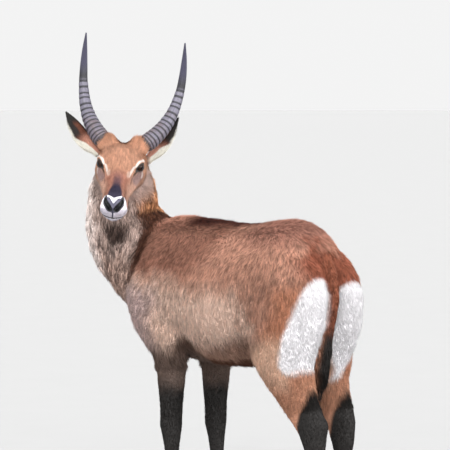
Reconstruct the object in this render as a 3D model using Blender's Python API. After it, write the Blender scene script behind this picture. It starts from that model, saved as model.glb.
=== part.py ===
"""A defassa waterbuck bull, life size, standing and looking back over its left side.

Metres, +Z up, the animal faces -Y and its left side is +X. The origin is on the floor, under the
middle of the outline. The body is lofted from named stations, joined into one skin that stands at
the tips of the coat, and parted with thin cuts into the pieces that a person would name.
"""

import math

import bmesh
import bpy
import numpy as np
from mathutils import Matrix, Vector

# Driving sizes.
GAP = 0.0005                 # air between neighbouring pieces
MIDDLE = Vector((0.0711, -0.1370, 0.0))    # the middle of the outline, in the axes of the stations
HIND_STAGGER = 0.080         # how far the left hind hoof stands behind the right one
FORE_STAGGER = -0.040        # and the left fore hoof behind the right one

# The head: where its origin, midway between the horn bases, is held, and how it is turned.
HEAD_AT = Vector((0.158, -0.543, 1.522))
HEAD_TURN = math.radians(128)    # from straight ahead towards the left flank
HEAD_PITCH = math.radians(35)    # nose below the level
HEAD_ROLL = math.radians(6)      # left side lower

EYE = Vector((0.088, 0.083, 0.026))      # centre of the left eyeball, in the head's axes
EYE_RADIUS = 0.021
ORBIT, ORBIT_RADII = Vector((0.084, 0.075, 0.026)), (0.038, 0.026, 0.029)
LIDS, LIDS_RADII = Vector((0.096, 0.101, 0.028)), (0.022, 0.015, 0.014)    # what is open between the lids
HORN_RINGS, RING_HEIGHT = 14, 0.10      # the lowest ring stands out by this share of the radius
EAR_LENGTH, EAR_WIDTH, EAR_WALL = 0.230, 0.084, 0.006

CORONET = 0.058              # height at which the legs end and the claws begin
CLAW_LENGTH, CLAW_WIDTH = 0.088, 0.034
TOE_OUT = math.radians(7)


# ---------------------------------------------------------------- the animal's stations
# y, top, bottom, half width, above, below, from the brisket back to the tail
TRUNK = [
    (-0.600, 1.075, 0.860, 0.070, -0.10, -0.10),
    (-0.575, 1.110, 0.810, 0.115, -0.10, -0.10),
    (-0.520, 1.180, 0.755, 0.165, -0.15, -0.15),
    (-0.430, 1.262, 0.715, 0.200, -0.30, -0.20),
    (-0.320, 1.286, 0.690, 0.222, -0.34, -0.16),
    (-0.200, 1.286, 0.675, 0.238, -0.32, -0.10),
    (-0.060, 1.271, 0.665, 0.252, -0.25, -0.05),
    (0.080, 1.262, 0.668, 0.258, -0.16, -0.05),
    (0.190, 1.278, 0.690, 0.250, -0.10, -0.05),
    (0.290, 1.283, 0.735, 0.228, -0.08, -0.05),
    (0.370, 1.240, 0.800, 0.190, -0.08, 0.00),
    (0.420, 1.175, 0.880, 0.140, -0.05, 0.00),
    (0.446, 1.100, 0.960, 0.080, 0.00, 0.00),
]

# x, y, z, half width, front, back, above, below, from inside the chest to inside the skull
NECK = [
    (0.000, -0.330, 0.990, 0.195, 0.270, 0.250, -0.10, -0.25),
    (0.000, -0.465, 1.080, 0.180, 0.255, 0.210, -0.12, -0.20),
    (0.005, -0.585, 1.180, 0.165, 0.225, 0.160, -0.12, -0.10),
    (0.018, -0.642, 1.285, 0.155, 0.186, 0.138, -0.10, -0.05),
    (0.052, -0.628, 1.385, 0.153, 0.148, 0.125, -0.08, -0.05),
    (0.090, -0.592, 1.470, 0.108, 0.115, 0.100, -0.05, -0.05),
    (0.110, -0.572, 1.520, 0.080, 0.080, 0.075, 0.00, 0.00),
]
NECK_TURN = [0, 6, 22, 50, 82, 108, 120]   # degrees that each station has turned to the left

# along the face, top, bottom, half width, above, below, in the head's own axes
HEAD = [
    (-0.085, 0.040, -0.050, 0.055, -0.10, -0.10),
    (-0.060, 0.066, -0.085, 0.082, -0.10, -0.20),
    (-0.020, 0.070, -0.110, 0.100, 0.10, -0.30),
    (0.020, 0.072, -0.125, 0.105, 0.15, -0.35),
    (0.060, 0.074, -0.130, 0.106, 0.15, -0.38),
    (0.095, 0.068, -0.125, 0.100, 0.05, -0.40),
    (0.135, 0.058, -0.118, 0.083, -0.12, -0.38),
    (0.180, 0.048, -0.110, 0.067, -0.22, -0.32),
    (0.230, 0.040, -0.103, 0.057, -0.18, -0.25),
    (0.270, 0.036, -0.102, 0.055, -0.05, -0.20),
    (0.300, 0.031, -0.096, 0.056, 0.05, -0.15),
    (0.322, 0.020, -0.078, 0.048, 0.05, -0.05),
    (0.334, 0.000, -0.052, 0.030, 0.00, 0.00),
]

# x, y, z, half width, front, back, above, below, from the shoulder to the coronet
FORELEG = [
    (0.082, -0.250, 1.150, 0.060, 0.080, 0.070, 0.0, 0.0),
    (0.130, -0.320, 1.060, 0.085, 0.130, 0.110, 0.0, 0.0),
    (0.142, -0.370, 0.950, 0.095, 0.135, 0.130, 0.0, 0.0),
    (0.142, -0.340, 0.840, 0.092, 0.125, 0.120, 0.0, 0.0),
    (0.138, -0.300, 0.745, 0.075, 0.092, 0.095, 0.0, 0.0),
    (0.135, -0.288, 0.660, 0.060, 0.070, 0.074, 0.0, 0.0),
    (0.132, -0.286, 0.560, 0.051, 0.060, 0.060, 0.0, 0.0),
    (0.130, -0.286, 0.470, 0.045, 0.052, 0.052, 0.0, 0.0),
    (0.129, -0.286, 0.410, 0.044, 0.052, 0.050, 0.0, 0.0),
    (0.128, -0.284, 0.350, 0.036, 0.039, 0.041, 0.0, 0.0),
    (0.127, -0.281, 0.250, 0.028, 0.028, 0.033, 0.0, 0.0),
    (0.126, -0.279, 0.170, 0.030, 0.030, 0.036, 0.0, 0.0),
    (0.126, -0.282, 0.128, 0.036, 0.036, 0.041, 0.0, 0.0),
    (0.125, -0.297, 0.092, 0.032, 0.030, 0.032, 0.0, 0.0),
    (0.125, -0.312, 0.060, 0.038, 0.036, 0.034, 0.0, 0.0),
    (0.125, -0.322, 0.035, 0.038, 0.036, 0.034, 0.0, 0.0),
]

HINDLEG = [
    (0.080, 0.250, 1.130, 0.100, 0.130, 0.140, 0.0, 0.0),
    (0.108, 0.285, 1.010, 0.120, 0.190, 0.205, 0.0, 0.0),
    (0.122, 0.300, 0.900, 0.117, 0.200, 0.205, 0.0, 0.0),
    (0.130, 0.300, 0.790, 0.102, 0.175, 0.185, 0.0, 0.0),
    (0.132, 0.315, 0.690, 0.084, 0.138, 0.148, 0.0, 0.0),
    (0.130, 0.350, 0.600, 0.066, 0.105, 0.108, 0.0, 0.0),
    (0.126, 0.394, 0.515, 0.052, 0.082, 0.080, 0.0, 0.0),
    (0.122, 0.425, 0.445, 0.046, 0.068, 0.072, 0.0, 0.0),
    (0.121, 0.438, 0.380, 0.041, 0.056, 0.058, 0.0, 0.0),
    (0.121, 0.440, 0.310, 0.033, 0.038, 0.042, 0.0, 0.0),
    (0.122, 0.438, 0.240, 0.030, 0.031, 0.036, 0.0, 0.0),
    (0.123, 0.435, 0.175, 0.032, 0.031, 0.037, 0.0, 0.0),
    (0.124, 0.430, 0.130, 0.037, 0.037, 0.042, 0.0, 0.0),
    (0.125, 0.414, 0.093, 0.032, 0.030, 0.033, 0.0, 0.0),
    (0.125, 0.399, 0.060, 0.038, 0.036, 0.034, 0.0, 0.0),
    (0.125, 0.389, 0.035, 0.038, 0.036, 0.034, 0.0, 0.0),
]

# along the face, out, up, radius, from inside the skull to the tip of the left horn
HORN = [
    (0.008, 0.050, 0.044, 0.0365),
    (-0.025, 0.091, 0.064, 0.0365),
    (-0.075, 0.129, 0.078, 0.0335),
    (-0.123, 0.156, 0.090, 0.0300),
    (-0.197, 0.188, 0.128, 0.0235),
    (-0.238, 0.199, 0.156, 0.0205),
    (-0.268, 0.206, 0.185, 0.0180),
    (-0.298, 0.210, 0.231, 0.0160),
    (-0.315, 0.211, 0.301, 0.0115),
    (-0.322, 0.209, 0.390, 0.0030),
]

# side, 1 for the left: root and tip of the ear, both written as for a left ear, in the head's axes
EARS = {
    1: ((-0.053, 0.099, -0.046), (-0.201, 0.227, 0.097)),
    -1: ((-0.020, 0.100, -0.012), (-0.138, 0.288, 0.122)),
}
EAR_OPENS = (-0.46, 0.75, -0.39)         # the way that its cup opens

# x, y, z, half width, front, back, above, below
TAIL = [
    (0.000, 0.330, 1.165, 0.045, 0.030, 0.040, 0.0, 0.0),
    (0.000, 0.400, 1.130, 0.042, 0.032, 0.034, 0.0, 0.0),
    (0.002, 0.446, 1.060, 0.034, 0.028, 0.027, 0.0, 0.0),
    (0.006, 0.466, 0.970, 0.029, 0.024, 0.024, 0.0, 0.0),
    (0.014, 0.462, 0.880, 0.026, 0.022, 0.022, 0.0, 0.0),
    (0.026, 0.450, 0.800, 0.028, 0.024, 0.024, 0.0, 0.0),
    (0.040, 0.442, 0.730, 0.034, 0.030, 0.030, 0.0, 0.0),
    (0.048, 0.436, 0.660, 0.030, 0.028, 0.028, 0.0, 0.0),
    (0.052, 0.433, 0.585, 0.008, 0.008, 0.008, 0.0, 0.0),
]

# Outlines of the cuts. The head's is (along the face, up), in its own axes, and the others are (y, z).
HEAD_CUT = [(-0.010, -0.130), (0.400, -0.186), (0.400, 0.300), (-0.180, 0.300)]
NECK_CUT = [(-0.300, 1.404), (-0.720, 0.900), (-1.300, 0.900), (-1.300, 2.200), (0.400, 2.200),
            (0.400, 1.404)]
ELBOW, KNEE = 0.662, 0.430
FORE_REACH = -0.700, 0.000
THIGH_CUT = [(0.020, 0.400), (0.800, 0.620), (0.800, 0.985), (0.330, 0.890), (0.130, 0.680)]
HINDFOOT_CUT = [(0.020, CORONET), (0.800, CORONET), (0.800, 0.620), (0.020, 0.400)]
HINDLEG_CUT = [(0.020, -0.100), (0.800, -0.100), (0.800, 0.985), (0.330, 0.890), (0.130, 0.680),
               (0.020, 0.400)]


# ---------------------------------------------------------------- materials
def material(name, colour, roughness, metallic=0.0):
    made = bpy.data.materials.new(name)
    made.use_nodes = True
    made.diffuse_color = (*colour, 1.0)
    shader = made.node_tree.nodes["Principled BSDF"]
    shader.inputs["Base Color"].default_value = (*colour, 1.0)
    shader.inputs["Roughness"].default_value = roughness
    shader.inputs["Metallic"].default_value = metallic
    return made


# ---------------------------------------------------------------- curves and lofts
def smooth_rows(rows, per_span):
    """Rows with more rows laid smoothly between them, by the distance between their first three."""
    rows = np.array(rows, float)
    steps = np.linalg.norm(np.diff(rows[:, :3], axis=0), axis=1)
    along = np.concatenate([[0], np.cumsum(steps)])
    slope = np.gradient(rows, along, axis=0)
    made = []
    for i in range(len(rows) - 1):
        span = along[i + 1] - along[i]
        for t in np.arange(per_span) / per_span:
            a, b = 2 * t**3 - 3 * t**2 + 1, t**3 - 2 * t**2 + t
            c, d = 3 * t**2 - 2 * t**3, t**3 - t**2
            made.append(a * rows[i] + b * span * slope[i] + c * rows[i + 1] + d * span * slope[i + 1])
    made.append(rows[-1])
    return np.array(made)


def unit_rows(vectors):
    return vectors / np.linalg.norm(vectors, axis=1)[:, None]


def section(width, rise, drop, above=0.0, below=0.0, sides=24):
    """A closed outline: width to each side, rise and drop from its middle. above and below fill out
    or pinch in its upper and lower half."""
    t = np.arange(sides) * 2 * math.pi / sides
    c, s = np.cos(t), np.sin(t)
    full = 1 + np.where(s > 0, above, below) * s * s
    return np.stack([width * c * full, np.where(s > 0, rise, drop) * s], axis=1)


def loft(rings, strip_caps=False):
    """One closed mesh over rings of points: (points, faces). Each end has a fan, or, for a section
    that is itself a bent strip, a row of quads between its two halves."""
    rings = np.array(rings)
    count, sides = rings.shape[:2]
    points = rings.reshape(-1, 3)
    start = (count - 1) * sides
    faces = []
    for k in range(sides):
        n = (k + 1) % sides
        for r in range(count - 1):
            a, b = r * sides + k, r * sides + n
            faces.append((a, b, b + sides, a + sides))
    if strip_caps:
        for k in range(sides // 2 - 1):
            quad = (k, k + 1, sides - 2 - k, sides - 1 - k)
            faces.append(quad[::-1])
            faces.append(tuple(start + i for i in quad))
        return points, faces
    points = np.concatenate([points, [rings[0].mean(0)], [rings[-1].mean(0)]])
    first, last = count * sides, count * sides + 1
    for k in range(sides):
        n = (k + 1) % sides
        faces.append((first, n, k))
        faces.append((last, start + k, start + n))
    return points, faces


def limb(stations, turns=None, per_span=3, sides=24):
    """A loft along stations (x, y, z, half width, front, back, above, below), each square to the path.
    Front is the side that faces -Y, or the turned side where turns gives degrees to the left."""
    rows = smooth_rows(stations, per_span)
    turns = np.zeros(len(stations)) if turns is None else np.radians(turns)
    angles = smooth_rows([(*row[:3], t) for row, t in zip(stations, turns)], per_span)[:, 3]
    path = rows[:, :3]
    tangent = unit_rows(np.gradient(path, axis=0))
    rings = []
    for at, along, angle, row in zip(path, tangent, angles, rows):
        out = np.array((math.cos(angle), math.sin(angle), 0.0))
        out -= along * (out @ along)
        out /= np.linalg.norm(out)
        face = np.cross(along, out)
        if face @ (math.sin(angle), -math.cos(angle), 0.0) < 0:
            face = -face
        flat = section(*row[3:8], sides=sides)
        rings.append(at + flat[:, :1] * out + flat[:, 1:] * face)
    return loft(rings)


def ball(at, radii, sides=12):
    """A closed ellipsoid. The first two radii are those across its rings."""
    t = np.linspace(0.0, math.pi, sides // 2 + 1)[1:-1]
    rings = []
    for angle in t:
        flat = section(radii[0] * math.sin(angle), radii[1] * math.sin(angle), radii[1] * math.sin(angle),
                       sides=sides)
        rings.append(np.column_stack([flat, np.full(sides, radii[2] * math.cos(angle))]))
    points, faces = loft(rings)
    points[-2:, 2] = radii[2], -radii[2]
    return points + np.array(at), faces


def placed(shell, matrix):
    turn = np.array(matrix)
    return shell[0] @ turn[:3, :3].T + turn[:3, 3], shell[1]


def mirrored(point, side):
    return Vector((point[0], side * point[1], point[2]))


# ---------------------------------------------------------------- parts of the animal
def head_matrix():
    """From the head's axes, face along +X, left +Y, crown +Z, to the world."""
    level = Matrix.Rotation(HEAD_TURN - math.pi / 2, 4, "Z")
    lean = Matrix.Rotation(-HEAD_ROLL, 4, "X")
    nod = Matrix.Rotation(HEAD_PITCH, 4, "Y")
    return Matrix.Translation(HEAD_AT) @ level @ lean @ nod


def upright(x, along, top, bottom, half_width, above, below):
    """A row for limb-like sections, from a station that gives the heights of its top and bottom."""
    half = (top - bottom) / 2
    return x, along, (top + bottom) / 2, half_width, half, half, above, below


def trunk_shell():
    rings = []
    for row in smooth_rows([upright(0.0, *station) for station in TRUNK], 3):
        flat = section(*row[3:8], sides=32)
        rings.append(np.column_stack([flat[:, 0], np.full(len(flat), row[1]), row[2] + flat[:, 1]]))
    return loft(rings)


def head_shell():
    rings = []
    for row in smooth_rows([upright(0.0, *station) for station in HEAD], 3):
        flat = section(*row[3:8], sides=32)
        rings.append(np.column_stack([np.full(len(flat), row[1]), flat[:, 0], row[2] + flat[:, 1]]))
    return placed(loft(rings), head_matrix())


def shifted(stations, side, stagger):
    """Stations of one leg. stagger moves its foot back, fading out up the leg."""
    top, foot = stations[1][2], stations[-1][2]
    rows = []
    for x, y, z, *rest in stations:
        share = min(1.0, max(0.0, (top - z) / (top - foot))) ** 1.2
        rows.append((side * x, y + stagger / 2 * side * share, z, *rest))
    return rows


def body_shells():
    """Closed, overlapping shells whose union is the flesh and coat, without ears, horns, tail or claws."""
    shells = [trunk_shell(), limb(NECK, NECK_TURN, sides=28), head_shell()]
    for side in (1, -1):
        shells.append(limb(shifted(FORELEG, side, FORE_STAGGER)))
        shells.append(limb(shifted(HINDLEG, side, HIND_STAGGER)))
        hock = side * 0.122, 0.462 + HIND_STAGGER * 0.375 * side, 0.448
        shells.append(ball(hock, (0.034, 0.042, 0.050)))
        # the rim of bone and lids round the eye
        shells.append(placed(ball(mirrored(ORBIT, side), ORBIT_RADII, 16), head_matrix()))
        # the haired root of the horn
        for f, out, up, radius in ((0.000, 0.050, 0.054, 0.040), (-0.012, 0.070, 0.055, 0.040)):
            shells.append(ball(head_matrix() @ Vector((f, side * out, up)), (radius,) * 3))
    return shells


def horn_shell(side, socket=False):
    """A ringed horn with a plain tip. Its socket follows its root and clears the first ring."""
    extra = GAP if socket else 0.0
    line = smooth_rows([(f, side * out, up, radius) for f, out, up, radius in HORN], 12)
    steps = np.linalg.norm(np.diff(line[:, :3], axis=0), axis=1)
    along = np.concatenate([[0], np.cumsum(steps)]) / steps.sum()
    first, last = 0.155, 0.73         # where the rings begin and end, as shares of the length
    pitch = (last - first) / HORN_RINGS
    stops, swell = [0.0, 0.05, 0.10, 0.15], [0.0] * 4
    if socket:
        stops += [0.152, 0.22]
        swell += [RING_HEIGHT, RING_HEIGHT]
    else:
        for k in range(HORN_RINGS):
            height = RING_HEIGHT * (1 - 0.5 * k / HORN_RINGS)
            stops += [first + pitch * (k + 0.10), first + pitch * (k + 0.62)]
            swell += [height, -0.3 * height]
        stops += list(np.linspace(last + 0.01, 1.0, 6))
        swell += [0.0] * 6
    rows = np.stack([np.interp(stops, along, line[:, i]) for i in range(4)], axis=1)
    tangent = unit_rows(np.gradient(rows[:, :3], axis=0))
    rows[0, :3] -= extra * tangent[0]
    rings = []
    for row, direction, more in zip(rows, tangent, swell):
        out = np.cross(direction, (0.0, side, 0.0))
        out /= np.linalg.norm(out)
        other = np.cross(direction, out)
        radius = row[3] * (1 + more) + extra
        flat = section(radius, radius, radius, sides=10)
        rings.append(row[:3] + flat[:, :1] * other + flat[:, 1:] * out)
    return placed(loft(rings), head_matrix())


def ear_shell(side, socket=False):
    """A leaf-shaped cup, rolled into a tube at its root and open along one side. Its socket is round."""
    root, tip, face = (np.array(mirrored(v, side)) for v in (*EARS[side], EAR_OPENS))
    way = (tip - root) / np.linalg.norm(tip - root)
    face = face - way * (face @ way)
    face /= np.linalg.norm(face)
    across = np.cross(way, face)
    # share of the length, share of the width, half the angle that the cup wraps
    shape = [(0.00, 0.42, 150), (0.10, 0.50, 135), (0.22, 0.72, 105), (0.36, 0.94, 85), (0.52, 1.00, 72),
             (0.68, 0.86, 62), (0.82, 0.58, 52), (0.93, 0.28, 42), (1.00, 0.06, 35)]
    tube = 0.42 * EAR_WIDTH / 2
    rings = []
    for s, wide, wrap in shape:
        wrap = math.radians(wrap)
        radius = wide * EAR_WIDTH / 2 / math.sin(min(wrap, math.pi / 2))
        centre = root + way * (EAR_LENGTH * s) + face * (radius - tube)
        wall = min(EAR_WALL * (1.1 - 0.6 * s), radius * 0.6)
        sweep = wrap * (np.arange(7) / 3 - 1)
        around = [(radius, a) for a in sweep] + [(radius - wall, a) for a in sweep[::-1]]
        if socket:
            around = [(radius + 1.5 * GAP, a) for a in np.arange(14) * math.pi / 7]
        rings.append([centre + r * (across * math.sin(a) - face * math.cos(a)) for r, a in around])
    if socket:
        rings = rings[:4]
        rings[0] = [p - way * GAP for p in rings[0]]
    return placed(loft(rings, strip_caps=not socket), head_matrix())


def tail_shell(extra=0.0):
    rows = [(x, y, z, w + extra, f + extra, b + extra, a, c) for x, y, z, w, f, b, a, c in TAIL]
    return limb(rows, per_span=2, sides=10)


def foot_matrix(stations, side, stagger):
    """From a foot's axes, toe along -Y, to the world. Its origin is on the floor below the coronet."""
    x, y, z, *_ = shifted(stations, side, stagger)[-1]
    return Matrix.Translation((x, y, 0.0)) @ Matrix.Rotation(TOE_OUT * side, 4, "Z")


def claw_shell(matrix, half):
    """One of the two claws of a hoof: flat below, straight along the cleft, pointed at the toe."""
    levels = [(0.0, 0.500, 0.500, 1.00), (0.012, 0.480, 0.505, 1.03), (0.036, 0.370, 0.470, 1.00),
              (CORONET - GAP, 0.270, 0.410, 0.98)]
    rings = []
    for z, toe, heel, wide in levels:
        ring = []
        for t in np.arange(10) * math.pi / 5 + math.pi / 10:
            forward, out = math.cos(t), 0.5 + 0.5 * math.sin(t)
            if out < 0.2:
                out = 0.0
            narrow = 1 - 0.42 * max(0.0, forward) ** 2
            x = 0.0015 + CLAW_WIDTH * wide * out * narrow
            y = -CLAW_LENGTH * (toe if forward > 0 else heel) * forward
            ring.append((half * x, y, z))
        rings.append(ring)
    return placed(loft(rings), matrix @ Matrix.Rotation(half * math.radians(3), 4, "Z"))


def dewclaw_shell(matrix, half, back, extra=0.0):
    size = np.array((0.011, 0.014, 0.017)) + extra
    return placed(ball((half * 0.018, back, 0.108), size, sides=6), matrix)


# ---------------------------------------------------------------- building and cutting
def mesh_of(name, shells):
    """One mesh of closed shells, each with its faces outwards. It is in triangles, so that a piece and
    its socket bend along the same diagonals."""
    points, faces = [], []
    for p, f in shells:
        start = sum(map(len, points))
        points.append(p)
        faces += [tuple(start + i for i in face) for face in f]
    mesh = bpy.data.meshes.new(name)
    mesh.from_pydata((np.concatenate(points) - np.array(MIDDLE)).tolist(), [], faces)
    work = bmesh.new()
    work.from_mesh(mesh)
    bmesh.ops.recalc_face_normals(work, faces=work.faces)
    bmesh.ops.triangulate(work, faces=work.faces, quad_method="FIXED")
    work.to_mesh(mesh)
    work.free()
    return mesh


def add(name, mesh, look=None):
    made = bpy.data.objects.new(name, mesh)
    bpy.context.scene.collection.objects.link(made)
    if look:
        mesh.materials.append(look)
    return made


def cutter(name, shells):
    made = add("cut_" + name, mesh_of("cut_" + name, shells))
    made.hide_render = True
    made.display_type = "WIRE"
    return made


def grown(outline, slack):
    """An outline with each edge moved outwards by slack."""
    outline = np.array(outline, float)
    edges = np.roll(outline, -1, axis=0) - outline
    area = np.sum(outline[:, 0] * np.roll(outline[:, 1], -1) - np.roll(outline[:, 0], -1) * outline[:, 1])
    normals = unit_rows(np.column_stack([edges[:, 1], -edges[:, 0]])) * math.copysign(1.0, area)
    before = np.roll(normals, 1, axis=0)
    return outline + slack * (normals + before) / (1 + np.sum(normals * before, axis=1))[:, None]


def prism(name, outline, low, high, slack, matrix=None):
    """A cutter over an outline in the second and third axis, from low to high along the first."""
    rings = [[(x, y, z) for y, z in grown(outline, slack)] for x in (low - slack, high + slack)]
    return cutter(name, [placed(loft(rings), matrix or Matrix.Identity(4))])


def boolean(obj, other, operation):
    step = obj.modifiers.new(operation.lower() + "_" + other.name, "BOOLEAN")
    step.object = other
    step.operation = operation
    step.solver = "EXACT"


def one_skin(name, shells, voxel, faces):
    """The union of the shells, softened, with about the given number of triangles."""
    made = add(name, mesh_of(name, shells))
    remesh = made.modifiers.new("one_skin", "REMESH")
    remesh.mode = "VOXEL"
    remesh.voxel_size = voxel
    soften = made.modifiers.new("soften", "SMOOTH")
    soften.factor = 0.5
    soften.iterations = round(0.08 / voxel)
    thin = made.modifiers.new("fewer_faces", "DECIMATE")
    thin.ratio = faces / (2 * len(settled(made).polygons))
    mesh = settled(made)
    bpy.data.objects.remove(made)
    return mesh


def settled(obj):
    """The mesh of an object, with its modifiers applied."""
    graph = bpy.context.evaluated_depsgraph_get()
    return bpy.data.meshes.new_from_object(obj.evaluated_get(graph), depsgraph=graph)


def main():
    for obj in list(bpy.data.objects):
        bpy.data.objects.remove(obj)
    coat = material("coat", (0.27, 0.15, 0.10), 0.9)
    dark_coat = material("dark_coat", (0.05, 0.035, 0.03), 0.9)
    horn = material("horn", (0.09, 0.09, 0.10), 0.45)
    hoof = material("hoof", (0.05, 0.045, 0.04), 0.5)
    wet = material("eye", (0.012, 0.008, 0.006), 0.08)

    shells = body_shells()
    fine = one_skin("fine", shells, 0.008, 6800)
    coarse = one_skin("coarse", shells, 0.010, 3000)
    feet = {}
    sockets = [tail_shell(GAP)]
    for which, side in (("left", 1), ("right", -1)):
        feet["fore", which] = foot_matrix(FORELEG, side, FORE_STAGGER), 0.052
        feet["hind", which] = foot_matrix(HINDLEG, side, HIND_STAGGER), 0.058
        eye_at = head_matrix() @ mirrored(EYE, side)
        sockets.append(ball(eye_at, (EYE_RADIUS + GAP,) * 3))
        sockets.append(horn_shell(side, socket=True))
        sockets.append(ear_shell(side, socket=True))
        add("eye_" + which, mesh_of("eye_" + which, [ball(eye_at, (EYE_RADIUS,) * 3)]), wet)
        add("horn_" + which, mesh_of("horn_" + which, [horn_shell(side)]), horn)
        add("ear_" + which, mesh_of("ear_" + which, [ear_shell(side)]), coat)
    add("tail", mesh_of("tail", [tail_shell()]), coat)
    for (end, which), (foot, back) in feet.items():
        for name, half in (("outer", 1), ("inner", -1)):
            half *= 1 if which == "left" else -1
            label = "_".join((end, which, name))
            sockets.append(dewclaw_shell(foot, half, back, GAP))
            add("claw_" + label, mesh_of("claw_" + label, [claw_shell(foot, half)]), hoof)
            add("dewclaw_" + label, mesh_of("dewclaw_" + label, [dewclaw_shell(foot, half, back)]), hoof)

    openings = [placed(ball(mirrored(LIDS, side), LIDS_RADII, 16), head_matrix()) for side in (1, -1)]
    pockets = [cutter("sockets", sockets), cutter("lids", openings)]

    def piece(name, source, keep, remove, look):
        made = add(name, source.copy(), look)
        for other in keep:
            boolean(made, other, "INTERSECT")
        for other in [*remove, *pockets]:
            boolean(made, other, "DIFFERENCE")

    in_air, out_air = -GAP / 2, GAP / 2
    face_first = head_matrix() @ Matrix.Rotation(-math.pi / 2, 4, "Z")
    head_in = prism("head_in", HEAD_CUT, -0.17, 0.17, in_air, face_first)
    head_out = prism("head_out", HEAD_CUT, -0.17, 0.17, out_air, face_first)
    neck_in = prism("neck_in", NECK_CUT, -0.5, 0.5, in_air)
    neck_out = prism("neck_out", NECK_CUT, -0.5, 0.5, out_air)
    piece("head", fine, [head_in], [], coat)
    piece("neck", coarse, [neck_in], [head_out], coat)
    front, rear = FORE_REACH
    forearm = [(front, KNEE), (rear, KNEE), (rear, ELBOW), (front, ELBOW)]
    cannon = [(front, CORONET), (rear, CORONET), (rear, KNEE), (front, KNEE)]
    foreleg = [(front, -0.1), (rear, -0.1), (rear, ELBOW), (front, ELBOW)]
    legs_out = []
    for which, side in (("left", 1), ("right", -1)):
        low, high = sorted((0.0, 0.5 * side))
        for name, outline, look in (("foreleg_", forearm, dark_coat), ("forefoot_", cannon, dark_coat),
                                    ("thigh_", THIGH_CUT, coat), ("hindfoot_", HINDFOOT_CUT, dark_coat)):
            piece(name + which, coarse, [prism(name + which, outline, low, high, in_air)], [], look)
        legs_out.append(prism("all_foreleg_" + which, foreleg, low, high, out_air))
        legs_out.append(prism("all_hindleg_" + which, HINDLEG_CUT, low, high, out_air))
    piece("trunk", coarse, [], [head_out, neck_out, *legs_out], coat)


main()
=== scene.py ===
"""The looks of a defassa waterbuck bull, life size, standing and looking back over its left side.

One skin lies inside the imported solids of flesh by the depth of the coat, with the bone, muscle, lids,
nostrils and lips of a real animal. The coat stands on it in tapered tufts that follow the lie of the
hair and carry the same markings. Eyes, horns and claws are pieces of their own.
"""

import math

import bmesh
import bpy
import numpy as np
from mathutils import Matrix, Vector
from mathutils.bvhtree import BVHTree


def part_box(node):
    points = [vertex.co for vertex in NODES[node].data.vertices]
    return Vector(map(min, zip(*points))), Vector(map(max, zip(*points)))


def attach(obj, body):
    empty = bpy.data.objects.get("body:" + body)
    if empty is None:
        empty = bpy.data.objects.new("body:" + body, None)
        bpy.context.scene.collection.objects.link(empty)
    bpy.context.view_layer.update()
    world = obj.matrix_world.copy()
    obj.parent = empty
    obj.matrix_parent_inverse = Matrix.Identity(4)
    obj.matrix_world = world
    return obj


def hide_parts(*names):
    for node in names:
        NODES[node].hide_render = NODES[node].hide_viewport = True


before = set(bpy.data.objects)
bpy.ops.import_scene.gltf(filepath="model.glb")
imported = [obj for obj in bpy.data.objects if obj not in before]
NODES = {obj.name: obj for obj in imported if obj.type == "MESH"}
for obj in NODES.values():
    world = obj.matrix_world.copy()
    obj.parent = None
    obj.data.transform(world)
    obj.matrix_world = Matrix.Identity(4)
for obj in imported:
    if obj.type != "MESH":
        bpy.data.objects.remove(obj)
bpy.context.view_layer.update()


# ---------------------------------------------------------------- axes of the animal, from the frame
def unit(v):
    v = np.asarray(v, float)
    return v / np.linalg.norm(v, axis=-1, keepdims=True)


def middle_of(node):
    low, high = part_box(node)
    return (np.array(low) + np.array(high)) / 2


# The body's axes: x from the spine to the left, y from the withers back, z from the floor.
TRUNK_REAR = 0.505
BODY_AT = np.array((middle_of("trunk")[0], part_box("trunk")[1][1] - TRUNK_REAR, 0.0))

# The head's axes: along the face to the nose, out to the left, and up to the crown.
NOD = math.radians(35)
EYE = np.array((0.088, 0.077, 0.026))
EYE_RADIUS = 0.021
HEAD_OUT = unit(middle_of("eye_left") - middle_of("eye_right"))
LEVEL = unit(np.cross(HEAD_OUT, (0.0, 0.0, 1.0)))
UPRIGHT = np.cross(LEVEL, HEAD_OUT)
HEAD_ALONG = math.cos(NOD) * LEVEL - math.sin(NOD) * UPRIGHT
HEAD_UP = math.sin(NOD) * LEVEL + math.cos(NOD) * UPRIGHT
HEAD_AXES = np.array((HEAD_ALONG, HEAD_OUT, HEAD_UP))
HEAD_AT = (middle_of("eye_left") + middle_of("eye_right")) / 2 - EYE[0] * HEAD_ALONG - EYE[2] * HEAD_UP


def to_body(points):
    return points - BODY_AT


def to_head(points):
    return (points - HEAD_AT) @ HEAD_AXES.T


def from_head(points):
    return HEAD_AT + np.asarray(points) @ HEAD_AXES


# ---------------------------------------------------------------- camera, first of all
FOCUS = np.array((0.0, 0.0, 1.0)) + (BODY_AT[0], BODY_AT[1], 0.0)
VIEW_TURN, VIEW_RISE, DISTANCE = math.radians(130), math.radians(3), 15.0
LENS = 290.4
AIM_RIGHT, AIM_UP = -0.087, 0.248    # from the focus to the place that the camera looks at
BACK = np.array((math.sin(VIEW_TURN) * math.cos(VIEW_RISE), -math.cos(VIEW_TURN) * math.cos(VIEW_RISE),
                 math.sin(VIEW_RISE)))
RIGHT = unit(np.cross(-BACK, (0.0, 0.0, 1.0)))
RISE = np.cross(RIGHT, -BACK)


def set_camera():
    data = bpy.data.cameras.new("camera")
    data.lens, data.clip_end = LENS, 1000.0
    camera = bpy.data.objects.new("camera", data)
    bpy.context.scene.collection.objects.link(camera)
    aim = FOCUS + AIM_RIGHT * RIGHT + AIM_UP * RISE
    camera.location = FOCUS + DISTANCE * BACK
    camera.rotation_euler = (Vector(aim) - camera.location).to_track_quat("-Z", "Y").to_euler()
    bpy.context.scene.camera = camera


set_camera()


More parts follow.
